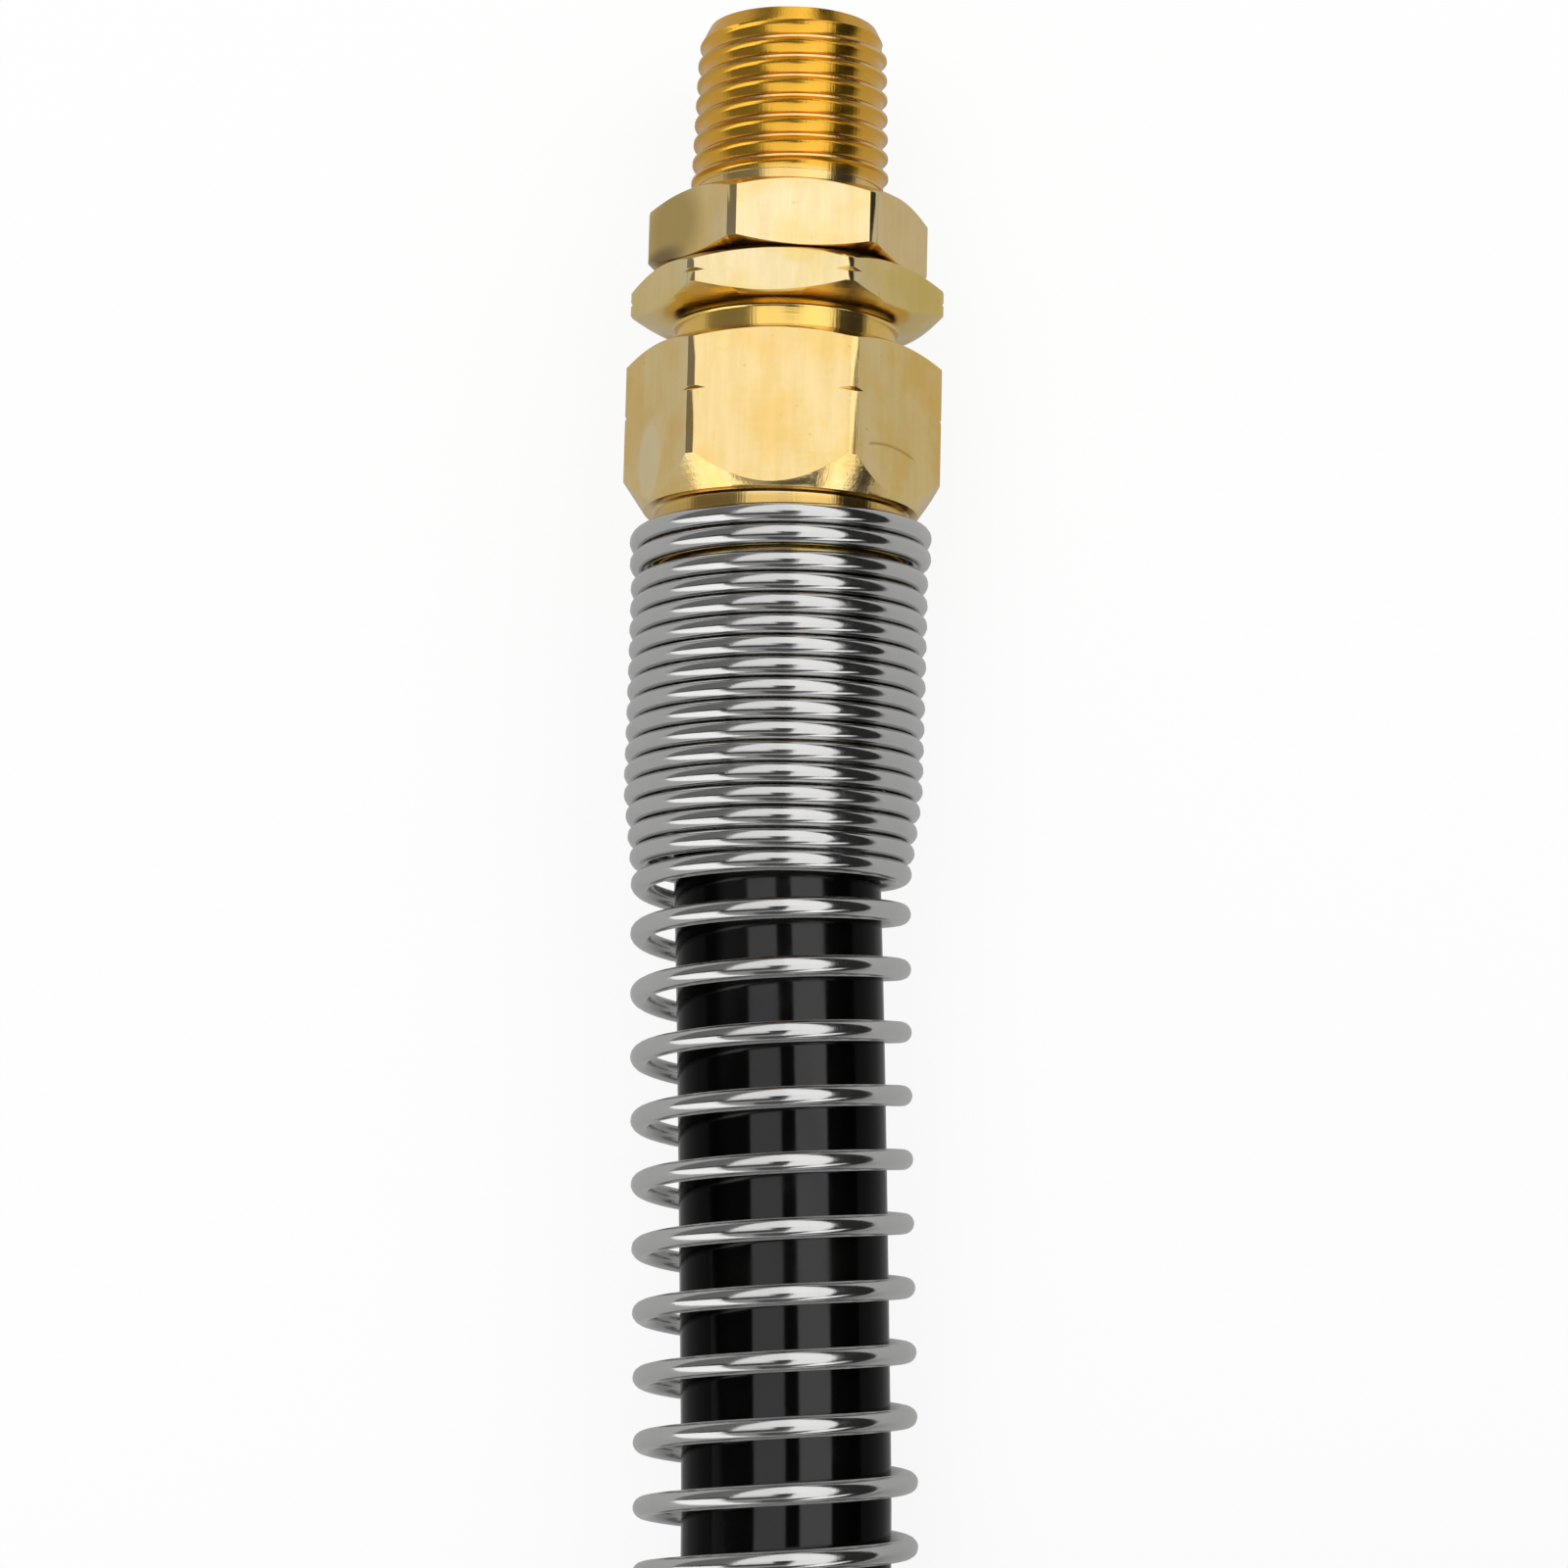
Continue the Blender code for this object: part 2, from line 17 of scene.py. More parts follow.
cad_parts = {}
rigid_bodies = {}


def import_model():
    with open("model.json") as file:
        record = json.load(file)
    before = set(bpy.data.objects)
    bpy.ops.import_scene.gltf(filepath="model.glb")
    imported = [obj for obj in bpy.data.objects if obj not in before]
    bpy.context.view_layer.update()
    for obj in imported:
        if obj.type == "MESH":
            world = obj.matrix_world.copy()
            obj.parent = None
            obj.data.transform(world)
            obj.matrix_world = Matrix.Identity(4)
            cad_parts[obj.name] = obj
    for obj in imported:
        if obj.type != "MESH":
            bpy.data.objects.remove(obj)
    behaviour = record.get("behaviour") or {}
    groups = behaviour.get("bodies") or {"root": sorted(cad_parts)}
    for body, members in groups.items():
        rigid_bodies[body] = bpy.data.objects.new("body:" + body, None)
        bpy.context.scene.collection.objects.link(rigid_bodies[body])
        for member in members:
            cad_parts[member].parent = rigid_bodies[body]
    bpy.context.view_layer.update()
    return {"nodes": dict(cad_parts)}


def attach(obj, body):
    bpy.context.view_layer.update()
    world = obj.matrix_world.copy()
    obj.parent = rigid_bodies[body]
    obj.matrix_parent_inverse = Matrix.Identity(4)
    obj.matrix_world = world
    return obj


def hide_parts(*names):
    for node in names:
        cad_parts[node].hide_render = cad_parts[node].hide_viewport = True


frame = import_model()
scene = bpy.context.scene
scene.view_settings.view_transform = "Standard"
MM = 0.001

# %% [markdown]
# ## One set of measures
# Real fittings are dimensioned from the thread's tip, so every length along a fitting is measured
# from there: station 0 is the tip, and stations grow towards the hose. A fitting is built standing
# up around Z with its tip at the origin and its body below, which is how a lathe hand would draw
# it. When a piece is done it is laid down where the CAD has it.

# %% Where the near fitting lies
END_X = 81.85 * MM
TIP_Y = 181.0 * MM
AXIS_HEIGHT = 10.289 * MM
LAID_DOWN = (
    Matrix.Translation((-END_X, TIP_Y, AXIS_HEIGHT))
    @ Matrix.Rotation(math.radians(-90), 4, "X")
)
HALF_TURN = Matrix.Rotation(math.pi, 4, "Z")


def placed(side, rise, station):
    """The point at this station, this far to the side of the fitting's axis and above it."""
    return LAID_DOWN @ Vector((side, -rise, -station))


print("Near tip:", [round(value, 4) for value in placed(0, 0, 0)])

# %% [markdown]
# ## The camera first
# The photograph looks almost straight down, from about three times the length of the brass. The
# widths of the hexagons shrink a little towards the tip, which gives the camera's height and its
# slight tilt. The axis leans a degree or so in the picture, so the camera is rolled by as much.

# %% Place the camera
EYE_RISE = 305.0 * MM
EYE_STATION = 100.23 * MM
EYE_SIDE = 0.61 * MM
EYE_TILT = math.radians(8.8)
EYE_ROLL = math.radians(1.4)
LENS_MM = 104.23
SENSOR_MM = 36

camera_data = bpy.data.cameras.new("camera")
camera_data.sensor_width = SENSOR_MM
camera_data.lens = LENS_MM
camera_data.clip_start = 0.01
camera_data.clip_end = 20
camera = bpy.data.objects.new("camera", camera_data)
scene.collection.objects.link(camera)
camera.matrix_world = (
    Matrix.Translation(placed(EYE_SIDE, EYE_RISE, EYE_STATION))
    @ Matrix.Rotation(EYE_TILT, 4, "X")
    @ Matrix.Rotation(EYE_ROLL, 4, "Z")
)
scene.camera = camera
print("Camera at", [round(value, 3) for value in camera.location])

# %% [markdown]
# ## The hose
# A recoil hose is one tube, here 14 mm thick and 4.6 m long. It runs straight out of the nut,
# sags a little inside its spring until it lies on the ground, winds eleven times round, and runs
# straight into the other nut. One smooth line carries all of it, and a round section follows
# that line. The far end is the near end turned half round about the middle, so its points are too.

# %% A smooth line through a few points
HOSE_ROUTE = (
    (29.3, 0.00, 0.00), (40.0, 0.00, 0.00), (52.5, 0.00, 0.00), (60.0, 0.35, -0.02),
    (70.0, 0.80, -0.10), (81.0, 1.22, -0.32), (92.0, 1.62, -0.58), (102.0, 1.95, -0.82),
    (112.0, 2.05, -1.12), (126.0, 2.15, -1.52), (137.0, 2.30, -1.95), (150.0, 2.50, -2.50),
    (160.0, 2.68, -2.93), (170.0, 2.90, -3.20), (181.0, 3.20, -3.289),
)


def along_route(route, station):
    """Side and rise, in metres, of a smooth curve through points (station, side, rise) in mm."""
    stations = [row[0] * MM for row in route]
    k = max(i for i in range(len(route) - 1) if stations[i] <= station or i == 0)
    width = stations[k + 1] - stations[k]
    share = (station - stations[k]) / width
    found = []
    for column in (1, 2):
        values = [row[column] * MM for row in route]
        slopes = []
        for i in (k, k + 1):
            low, high = max(i - 1, 0), min(i + 1, len(route) - 1)
            slopes.append((values[high] - values[low]) / (stations[high] - stations[low]))
        a, b = values[k], values[k + 1]
        square = 3 * (b - a) - (2 * slopes[0] + slopes[1]) * width
        cube = 2 * (a - b) + (slopes[0] + slopes[1]) * width
        found.append(a + slopes[0] * width * share + square * share ** 2 + cube * share ** 3)
    return found


print("Hose at station 100:", [round(v / MM, 2) for v in along_route(HOSE_ROUTE, 100 * MM)], "mm")

# %% The whole line of the hose
HOSE_R = 7.0 * MM
COIL_R = 61.8 * MM
COIL_TURNS = 11
COIL_PITCH = 14.3 * MM
COIL_START_SIDE = 3.2 * MM
HOSE_START = 29.782 * MM
POINTS_A_TURN = 48
TAIL_STEP = 4.0 * MM

tail_length = TIP_Y - HOSE_START
tail_count = round(tail_length / TAIL_STEP)
tail = []
for step in range(tail_count):
    station = HOSE_START + tail_length * step / tail_count
    side, rise = along_route(HOSE_ROUTE, station)
    tail.append(placed(side, rise, station))
winding = []
for step in range(COIL_TURNS * POINTS_A_TURN + 1):
    turn = step / POINTS_A_TURN
    angle = 2 * math.pi * turn
    winding.append(Vector((
        COIL_START_SIDE - END_X + COIL_PITCH * turn,
        -COIL_R * math.sin(angle),
        COIL_R + HOSE_R - COIL_R * math.cos(angle),
    )))
hose_line = tail + winding + [HALF_TURN @ point for point in reversed(tail)]
hose_length = sum((b - a).length for a, b in zip(hose_line, hose_line[1:]))
print("Hose line:", len(hose_line), "points,", round(hose_length, 3), "m")

# %% [markdown]
# A curve with a bevel depth is a round tube along its points, and the wire guards are made so too.
# The coil lies outside the picture, so the metal isn't let mirror the hose.

# %% The hose itself
def tube_along(name, points, radius, roundness):
    """A curve object that carries a round section along a line of points, with closed ends."""
    curve = bpy.data.curves.new(name, "CURVE")
    curve.dimensions = "3D"
    curve.twist_mode = "MINIMUM"
    curve.bevel_depth = radius
    curve.bevel_resolution = roundness
    curve.use_fill_caps = True
    spline = curve.splines.new("POLY")
    spline.points.add(len(points) - 1)
    for knot, point in zip(spline.points, points):
        knot.co = (*point, 1)
    spline.use_smooth = True
    tube = bpy.data.objects.new(name, curve)
    scene.collection.objects.link(tube)
    return tube


hose = tube_along("hose", hose_line, HOSE_R, 12)
hose.visible_glossy = False
print("Hose made, thickness", hose.data.bevel_depth * 2)

# %% [markdown]
# ## Working as a lathe does
# Brass fittings start as hexagon bar and are turned, so their shapes are rings of different
# radius joined by cones and flats. A circle is added at the first radius, then extruded along the
# axis and scaled to each following radius, and the last ring is joined to the first.

# %% Turn a ring
MERGE_DISTANCE = 0.01 * MM
ROUND_SIDES = 128


def only(piece):
    """Selects this piece alone and makes it active."""
    bpy.ops.object.select_all(action="DESELECT")
    piece.select_set(True)
    bpy.context.view_layer.objects.active = piece


def edit_all():
    """Opens edit mode with everything selected."""
    bpy.ops.object.mode_set(mode="EDIT")
    bpy.ops.mesh.select_all(action="SELECT")


def turned(name, outline, sides=ROUND_SIDES, turn=0.0, corner_cut=0.0):
    """A closed ring about Z through (radius, station) points. A cut blunts its corners."""
    bpy.ops.object.select_all(action="DESELECT")
    radius, station = outline[0]
    bpy.ops.mesh.primitive_circle_add(
        vertices=sides, radius=radius, location=(0, 0, -station), rotation=(0, 0, turn),
    )
    piece = bpy.context.object
    piece.name = name
    piece.data.name = name
    bpy.ops.object.transform_apply(location=True, rotation=True, scale=True)
    edit_all()
    if corner_cut:
        bpy.ops.mesh.bevel(offset=corner_cut, segments=1, affect="VERTICES")
        bpy.ops.mesh.select_all(action="SELECT")
    for new_radius, new_station in outline[1:] + outline[:1]:
        shift = (0, 0, station - new_station)
        bpy.ops.mesh.extrude_edges_move(TRANSFORM_OT_translate={"value": shift})
        scale = new_radius / radius
        if not math.isclose(scale, 1):
            centre = (0, 0, -new_station)
            bpy.ops.transform.resize(value=(scale, scale, 1), center_override=centre)
        radius, station = new_radius, new_station
    bpy.ops.mesh.select_all(action="SELECT")
    bpy.ops.mesh.remove_doubles(threshold=MERGE_DISTANCE)
    bpy.ops.mesh.normals_make_consistent(inside=False)
    bpy.ops.object.mode_set(mode="OBJECT")
    return piece


# %% [markdown]
# The wrench flats are what is left of the bar. A hexagon cutter, hollow in its middle, is taken
# away from the turned blank with a Boolean, so each flat ends in the curve that a turned chamfer
# gives it. The corners of real bar are a little blunt, and the cutter's are cut flat for that.

# %% Mill a hexagon
CORNER_CUT = 0.40 * MM
BLANK_OVER = 0.15 * MM
CUTTER_REACH = 1.5


def apply_modifiers(piece):
    only(piece)
    for modifier in list(piece.modifiers):
        bpy.ops.object.modifier_apply(modifier=modifier.name)


def combine(piece, other, operation):
    """Cuts other out of piece, or joins it on, and throws other away."""
    step = piece.modifiers.new(operation.title(), "BOOLEAN")
    step.operation = operation
    step.solver = "EXACT"
    step.object = other
    apply_modifiers(piece)
    bpy.data.objects.remove(other, do_unlink=True)
    return piece


def corner(flats):
    """Corner radius of a hexagon of this size across its flats."""
    return flats / 2 / math.cos(math.radians(30))


def mill_hexagon(piece, flats, turn, top, end):
    """Leaves a hexagon with slightly blunted corners between two stations."""
    near, far = corner(flats), corner(flats) * CUTTER_REACH
    outline = [(near, top), (near, end), (far, end), (far, top)]
    cutter = turned("hexagon_cutter", outline, 6, math.radians(30 + turn), CORNER_CUT)
    return combine(piece, cutter, "DIFFERENCE")


print("A 17 mm hexagon has its corners", round(corner(17.0), 2), "mm from its axis")

# %% Deburr a piece and lay it down
DEBURR_WIDTH = 0.06 * MM
DEBURR_ANGLE = math.radians(30)
SMOOTH_ANGLE = math.radians(28)


def deburr(piece):
    """Rounds the sharp edges by a hair, so that they catch the light."""
    edges = piece.modifiers.new("Deburr", "BEVEL")
    edges.width = DEBURR_WIDTH
    edges.segments = 2
    edges.limit_method = "ANGLE"
    edges.angle_limit = DEBURR_ANGLE
    apply_modifiers(piece)


def lay_down(piece):
    """Lays a finished piece where the near fitting is, with its place in its mesh, and shades it.

    Weighted normals keep each flat's shading flat up to its rounded edges.
    """
    piece.matrix_world = LAID_DOWN
    only(piece)
    bpy.ops.object.transform_apply(location=True, rotation=True, scale=True)
    bpy.ops.object.shade_smooth_by_angle(angle=SMOOTH_ANGLE)
    weighted = piece.modifiers.new("Flats", "WEIGHTED_NORMAL")
    weighted.keep_sharp = True
    apply_modifiers(piece)
    sizes = [round(v / MM, 2) for v in piece.dimensions]
    print(piece.name, len(piece.data.polygons), "faces, size in mm", sizes)


# %% [markdown]
# ## The swivel stem
# The stem carries a quarter-inch taper pipe thread: 18 turns to the inch, the radius growing by 1
# in 32. Its crests are narrow and its valleys wide and round. One turn of the profile is drawn,
# the Screw modifier winds it up, and every point is then moved out by the taper. The tip is cut
# square and chamfered, and the plain body with its hexagon and journal is joined on.

# %% Wind the thread
THREAD_R = 6.5 * MM
THREAD_TAPER = 1 / 32
THREAD_PITCH = 25.4 / 18 * MM
THREAD_DEPTH = 0.36 * MM
THREAD_CREST = 0.14 * MM
VALLEY_STEPS = 12
VALLEY_POWER = 4
FIRST_CREST = 1.95 * MM
TURNS_WOUND = 13
TURNS_ABOVE = 3
THREAD_STEPS = 72

half_crest = THREAD_CREST / 2
profile = [(THREAD_R, -half_crest)]
for step in range(VALLEY_STEPS + 1):
    across = 2 * step / VALLEY_STEPS - 1
    height = THREAD_PITCH / 2 + across * (THREAD_PITCH / 2 - half_crest)
    profile.append((THREAD_R - THREAD_DEPTH * (1 - abs(across) ** VALLEY_POWER), height))
start_z = TURNS_ABOVE * THREAD_PITCH - FIRST_CREST
thread_mesh = bpy.data.meshes.new("thread")
thread_mesh.from_pydata(
    [(radius, 0, start_z - THREAD_PITCH * TURNS_WOUND + height) for radius, height in profile],
    [(k, k + 1) for k in range(len(profile) - 1)], [],
)
thread = bpy.data.objects.new("thread", thread_mesh)
scene.collection.objects.link(thread)
screw = thread.modifiers.new("Wind", "SCREW")
screw.screw_offset = THREAD_PITCH
screw.iterations = TURNS_WOUND
screw.steps = screw.render_steps = THREAD_STEPS
screw.use_merge_vertices = True
screw.merge_threshold = MERGE_DISTANCE
apply_modifiers(thread)
print("Wound:", TURNS_WOUND, "turns,", len(thread.data.polygons), "faces")

# %% Cut the thread to its length and give it its taper
THREAD_LENGTH = 11.6 * MM
TIP_R = 5.82 * MM
TIP_SLOPE = 0.5

edit_all()
bpy.ops.mesh.remove_doubles(threshold=2 * MERGE_DISTANCE)
for cut_station, outwards in ((0, 1), (THREAD_LENGTH, -1)):
    bpy.ops.mesh.select_all(action="SELECT")
    bpy.ops.mesh.bisect(
        plane_co=(0, 0, -cut_station), plane_no=(0, 0, outwards), clear_outer=True, threshold=1e-7,
    )
bpy.ops.object.mode_set(mode="OBJECT")
for vertex in thread.data.vertices:
    radius = math.hypot(vertex.co.x, vertex.co.y)
    station = -vertex.co.z
    wanted = min(radius + station * THREAD_TAPER, TIP_R + station * TIP_SLOPE)
    vertex.co.x *= wanted / radius
    vertex.co.y *= wanted / radius
print("Thread:", len(thread.data.polygons), "faces")

# %% [markdown]
# A Boolean needs a closed shape, so the thread becomes a short tube. Its open ring at each end is
# extruded in to the radius of the air way, and the two new rings are bridged.

# %% Close the thread into a short tube
AIR_BORE_R = 3.2 * MM
SAME_STATION = 1e-6


def select_open(piece, belongs):
    """In edit mode, selects the open edges whose two ends both belong."""
    bpy.ops.mesh.select_all(action="DESELECT")
    bpy.ops.object.mode_set(mode="OBJECT")
    faces_at = Counter(key for polygon in piece.data.polygons for key in polygon.edge_keys)
    chosen = [belongs(vertex.co) for vertex in piece.data.vertices]
    for edge in piece.data.edges:
        edge.select = faces_at[edge.key] == 1 and all(chosen[k] for k in edge.vertices)
    bpy.ops.object.mode_set(mode="EDIT")


def gather(piece, station, radius):
    """Extrudes the ring at this station and moves the new ring to one radius."""
    select_open(piece, lambda co: abs(co.z + station) < SAME_STATION)
    bpy.ops.mesh.extrude_edges_move()
    bpy.ops.object.mode_set(mode="OBJECT")
    for vertex in piece.data.vertices:
        if vertex.select:
            size = math.hypot(vertex.co.x, vertex.co.y)
            vertex.co.x *= radius / size
            vertex.co.y *= radius / size
    bpy.ops.object.mode_set(mode="EDIT")


only(thread)
bpy.ops.object.mode_set(mode="EDIT")
bpy.ops.mesh.select_mode(type="EDGE")
gather(thread, 0, AIR_BORE_R)
gather(thread, THREAD_LENGTH, AIR_BORE_R)
select_open(thread, lambda co: math.hypot(co.x, co.y) < AIR_BORE_R * 1.01)
bpy.ops.mesh.bridge_edge_loops()
bpy.ops.mesh.select_all(action="SELECT")
bpy.ops.mesh.normals_make_consistent(inside=False)
bpy.ops.object.mode_set(mode="OBJECT")
shape = bmesh.new()
shape.from_mesh(thread.data)
print("Thread open edges:", sum(not edge.is_manifold for edge in shape.edges))
shape.free()

# %% [markdown]
# Behind the thread the stem has a hexagon with a turned chamfer at both ends, and a smooth journal
# that turns in the hose body. The journal's three grooves hold the retaining ring and the O-rings.

# %% Turn the stem's body and mill its hexagon
RELIEF_R = 6.45 * MM
STEM_HEX_FLATS = 17.1 * MM
STEM_HEX_TURN = 6.5
STEM_HEX_TOP = 12.75 * MM
STEM_HEX_END = 17.65 * MM
STEM_CUT_END = STEM_HEX_END + 0.15 * MM
STEM_BACK_CHAMFER = 0.7
STEM_END = 27.9 * MM
JOURNAL_R = 5.4 * MM
JOURNAL_GROOVES_MM = ((2.45, 1.4, 4.4), (4.75, 1.7, 4.0), (7.3, 1.7, 4.0))
THREAD_JOIN = THREAD_LENGTH - 0.15 * MM
SLOPE = math.tan(math.radians(30))

rim = corner(STEM_HEX_FLATS) + BLANK_OVER
top_r = STEM_HEX_FLATS / 2 - 0.3 * MM
chamfer = (rim - top_r) * SLOPE
stem_outline = [
    (RELIEF_R, THREAD_JOIN), (RELIEF_R, STEM_HEX_TOP), (top_r, STEM_HEX_TOP),
    (rim, STEM_HEX_TOP + chamfer), (rim, STEM_HEX_END - chamfer * STEM_BACK_CHAMFER),
    (top_r, STEM_HEX_END), (JOURNAL_R, STEM_HEX_END),
]
for start, width, floor_r in JOURNAL_GROOVES_MM:
    groove_top = STEM_HEX_END + start * MM
    groove_end = groove_top + width * MM
    stem_outline += [
        (JOURNAL_R, groove_top), (floor_r * MM, groove_top),
        (floor_r * MM, groove_end), (JOURNAL_R, groove_end),
    ]
stem_outline += [(JOURNAL_R, STEM_END), (AIR_BORE_R, STEM_END), (AIR_BORE_R, THREAD_JOIN)]
near_stem = turned("near_stem", stem_outline)
mill_hexagon(near_stem, STEM_HEX_FLATS, STEM_HEX_TURN, STEM_HEX_TOP - MM, STEM_CUT_END)
deburr(near_stem)
combine(near_stem, thread, "UNION")
lay_down(near_stem)

# %% [markdown]
# ## The hose body and the clamp nut
# The body's thin hexagon is what a second wrench holds, and its tail goes into the hose. The nut
# clamps the hose on that tail. Both have a small V groove cut round their corners by the lathe:
# it only reaches the corners, because the flats lie deeper than its bottom.

# %% The outside of the hose body
BODY_HEX_FLATS = 19.1 * MM
BODY_HEX_TURN = -6.8
BODY_TOP = 17.95 * MM
COLLAR_TOP_R = 9.3 * MM
COLLAR_LAND_TOP = 18.914 * MM
COLLAR_LAND_END = 20.164 * MM
COLLAR_END = 21.32 * MM
COLLAR_BOTTOM_R = 8.85 * MM
NECK_FILLET_MM = ((7.95, 0.06), (7.74, 0.16), (7.65, 0.36))
NECK_R = 7.65 * MM
NUT_TOP = 22.982 * MM
NUT_THREAD_R = 8.0 * MM
NUT_THREAD_END = 29.482 * MM
GROOVE_HALF = 0.3 * MM
GROOVE_DEPTH = 0.65 * MM
WASHER_SEAT_R = 7.4 * MM


def v_groove(radius, station):
    return [
        (radius, station - GROOVE_HALF), (radius - GROOVE_DEPTH, station),
        (radius, station + GROOVE_HALF),
    ]


rim = corner(BODY_HEX_FLATS) + BLANK_OVER
body_outline = [(WASHER_SEAT_R, BODY_TOP), (COLLAR_TOP_R, BODY_TOP), (rim, COLLAR_LAND_TOP)]
body_outline += v_groove(rim, (COLLAR_LAND_TOP + COLLAR_LAND_END) / 2)
body_outline += [(rim, COLLAR_LAND_END), (COLLAR_BOTTOM_R, COLLAR_END)]
body_outline += [(radius * MM, COLLAR_END + past * MM) for radius, past in NECK_FILLET_MM]
body_outline += [
    (NECK_R, NUT_TOP + 0.6 * MM), (NUT_THREAD_R, NUT_TOP + 0.9 * MM),
    (NUT_THREAD_R, NUT_THREAD_END),
]
print("Outside of the hose body:", len(body_outline), "rings")

# %% The insert and the bores, and the whole hose body
INSERT_END = 46.382 * MM
INSERT_R = 4.4 * MM
INSERT_CHAMFER = 0.3 * MM
RIB_R = 4.7 * MM
RIB_COUNT = 4
RIB_PITCH = 3.2 * MM
RIB_FALL = 1.92 * MM
BORE_END = STEM_END + 0.3 * MM
STEM_BORE_R = 5.7 * MM
RING_POCKET_R = 6.6 * MM
RING_POCKET_TOP = 20.1 * MM
RING_POCKET_END = 21.5 * MM
WASHER_SEAT = 19.15 * MM
BODY_CUT_END = COLLAR_END + 0.3 * MM

body_outline += [(INSERT_R, NUT_THREAD_END)]
for k in range(RIB_COUNT):
    crest = NUT_THREAD_END + RIB_PITCH * (k + 0.5)
    body_outline += [(RIB_R, crest), (INSERT_R, crest + RIB_FALL)]
body_outline += [
    (INSERT_R, INSERT_END - INSERT_CHAMFER), (INSERT_R - INSERT_CHAMFER, INSERT_END),
    (AIR_BORE_R, INSERT_END), (AIR_BORE_R, BORE_END), (STEM_BORE_R, BORE_END),
    (STEM_BORE_R, RING_POCKET_END), (RING_POCKET_R, RING_POCKET_END),
    (RING_POCKET_R, RING_POCKET_TOP), (STEM_BORE_R, RING_POCKET_TOP),
    (STEM_BORE_R, WASHER_SEAT), (WASHER_SEAT_R, WASHER_SEAT),
]
near_body = turned("near_body", body_outline)
mill_hexagon(near_body, BODY_HEX_FLATS, BODY_HEX_TURN, BODY_TOP - MM, BODY_CUT_END)
deburr(near_body)
lay_down(near_body)

# %% [markdown]
# The nut ends in a steep cone and a thin barrel, on which the guard is wound. A hair of play on
# its thread lets the nut sit a little to one side, as it does in the photograph.

# %% The clamp nut
NUT_HEX_FLATS = 19.2 * MM
NUT_HEX_TURN = -4.5
NUT_FACE = 23.3 * MM
NUT_FACE_R = 9.1 * MM
NUT_TOP_SLOPE = 0.477
NUT_GROOVE = NUT_TOP + 4.75 * MM
NUT_HEX_END = 34.182 * MM
NUT_CONE_LENGTH = 2.5 * MM
NUT_CONE_END = NUT_HEX_END + 0.2 * MM
NUT_CONE_END_R = 9.42 * MM
NUT_BORE_R = 8.3 * MM
NUT_SIDE = -0.08 * MM
TAPER_FROM = 36.482 * MM
BARREL_R = 8.65 * MM
BARREL_FILLET_MM = ((0.2, 0.25), (0.0, 0.4))
BARREL_BORE_R = 7.3 * MM
BARREL_END = 51.782 * MM
BARREL_CHAMFER = 0.25 * MM

rim = corner(NUT_HEX_FLATS) + BLANK_OVER
nut_outline = [
    (NUT_BORE_R, NUT_TOP), (NUT_FACE_R, NUT_FACE),
    (rim, NUT_FACE + (rim - NUT_FACE_R) * NUT_TOP_SLOPE),
]
nut_outline += v_groove(rim, NUT_GROOVE)
nut_outline += [(rim, NUT_HEX_END - NUT_CONE_LENGTH), (NUT_CONE_END_R, NUT_CONE_END)]
nut_outline += [
    (BARREL_R + over * MM, NUT_HEX_END + past * MM) for over, past in BARREL_FILLET_MM
]
nut_outline += [
    (BARREL_R, BARREL_END - BARREL_CHAMFER), (BARREL_R - BARREL_CHAMFER, BARREL_END),
    (BARREL_BORE_R, BARREL_END), (BARREL_BORE_R, TAPER_FROM + NUT_BORE_R - BARREL_BORE_R),
    (NUT_BORE_R, TAPER_FROM),
]
near_nut = turned("near_nut", nut_outline)
mill_hexagon(near_nut, NUT_HEX_FLATS, NUT_HEX_TURN, NUT_TOP - MM, NUT_CONE_END)
deburr(near_nut)
only(near_nut)
edit_all()
bpy.ops.transform.translate(value=(NUT_SIDE, 0, 0))
bpy.ops.object.mode_set(mode="OBJECT")
lay_down(near_nut)

# %% [markdown]
# ## The wire guard
# The guard is one length of round wire wound on a mandrel: close together on the nut, open along
# the hose, and close again at its end. Its line is a helix whose pitch and radius change along
# the way, round a middle line that sags with the hose.

# %% How the guard's pitch and radius change
CLOSE_PITCH = 1.425 * MM
SPREAD_PITCH = 1.8 * MM
OPEN_PITCH = 4.276 * MM
SPREAD_FROM = 1.5
CLOSE_TURNS = 16.5
RAMP_TURNS = 2.0
OPEN_TURNS = 15.5
CLOSING_TURNS = 0.5
END_TURNS = 1.5
LOOSE_R = 9.64 * MM
CLOSE_R = 9.475 * MM
WAIST_R = 8.8 * MM
LOOSE_TURNS = 1.6
SETTLING_TURNS = 0.5
NARROWING_TURNS = 4.0


def guard_pitch(turn):
    """How far the wire moves along in the turn that starts here."""
    open_end = CLOSE_TURNS + OPEN_TURNS
    if SPREAD_FROM <= turn < SPREAD_FROM + 1:
        return SPREAD_PITCH
    if turn < CLOSE_TURNS:
        return CLOSE_PITCH
    if turn < CLOSE_TURNS + RAMP_TURNS:
        share = (turn - CLOSE_TURNS) / RAMP_TURNS
        return CLOSE_PITCH + (OPEN_PITCH - CLOSE_PITCH) * (1 + share) / 2
    if turn < open_end - CLOSING_TURNS:
        return OPEN_PITCH
    return (OPEN_PITCH + CLOSE_PITCH) / 2 if turn < open_end else CLOSE_PITCH


def guard_radius(turn):
    """From the guard's middle line to the middle of its wire: loose, then close, then narrow."""
    settled = min(max((turn - LOOSE_TURNS) / SETTLING_TURNS, 0), 1)
    wide = LOOSE_R + (CLOSE_R - LOOSE_R) * settled
    narrowing = min(max((turn - CLOSE_TURNS + NARROWING_TURNS) / NARROWING_TURNS, 0), 1)
    return wide + (WAIST_R - wide) * narrowing


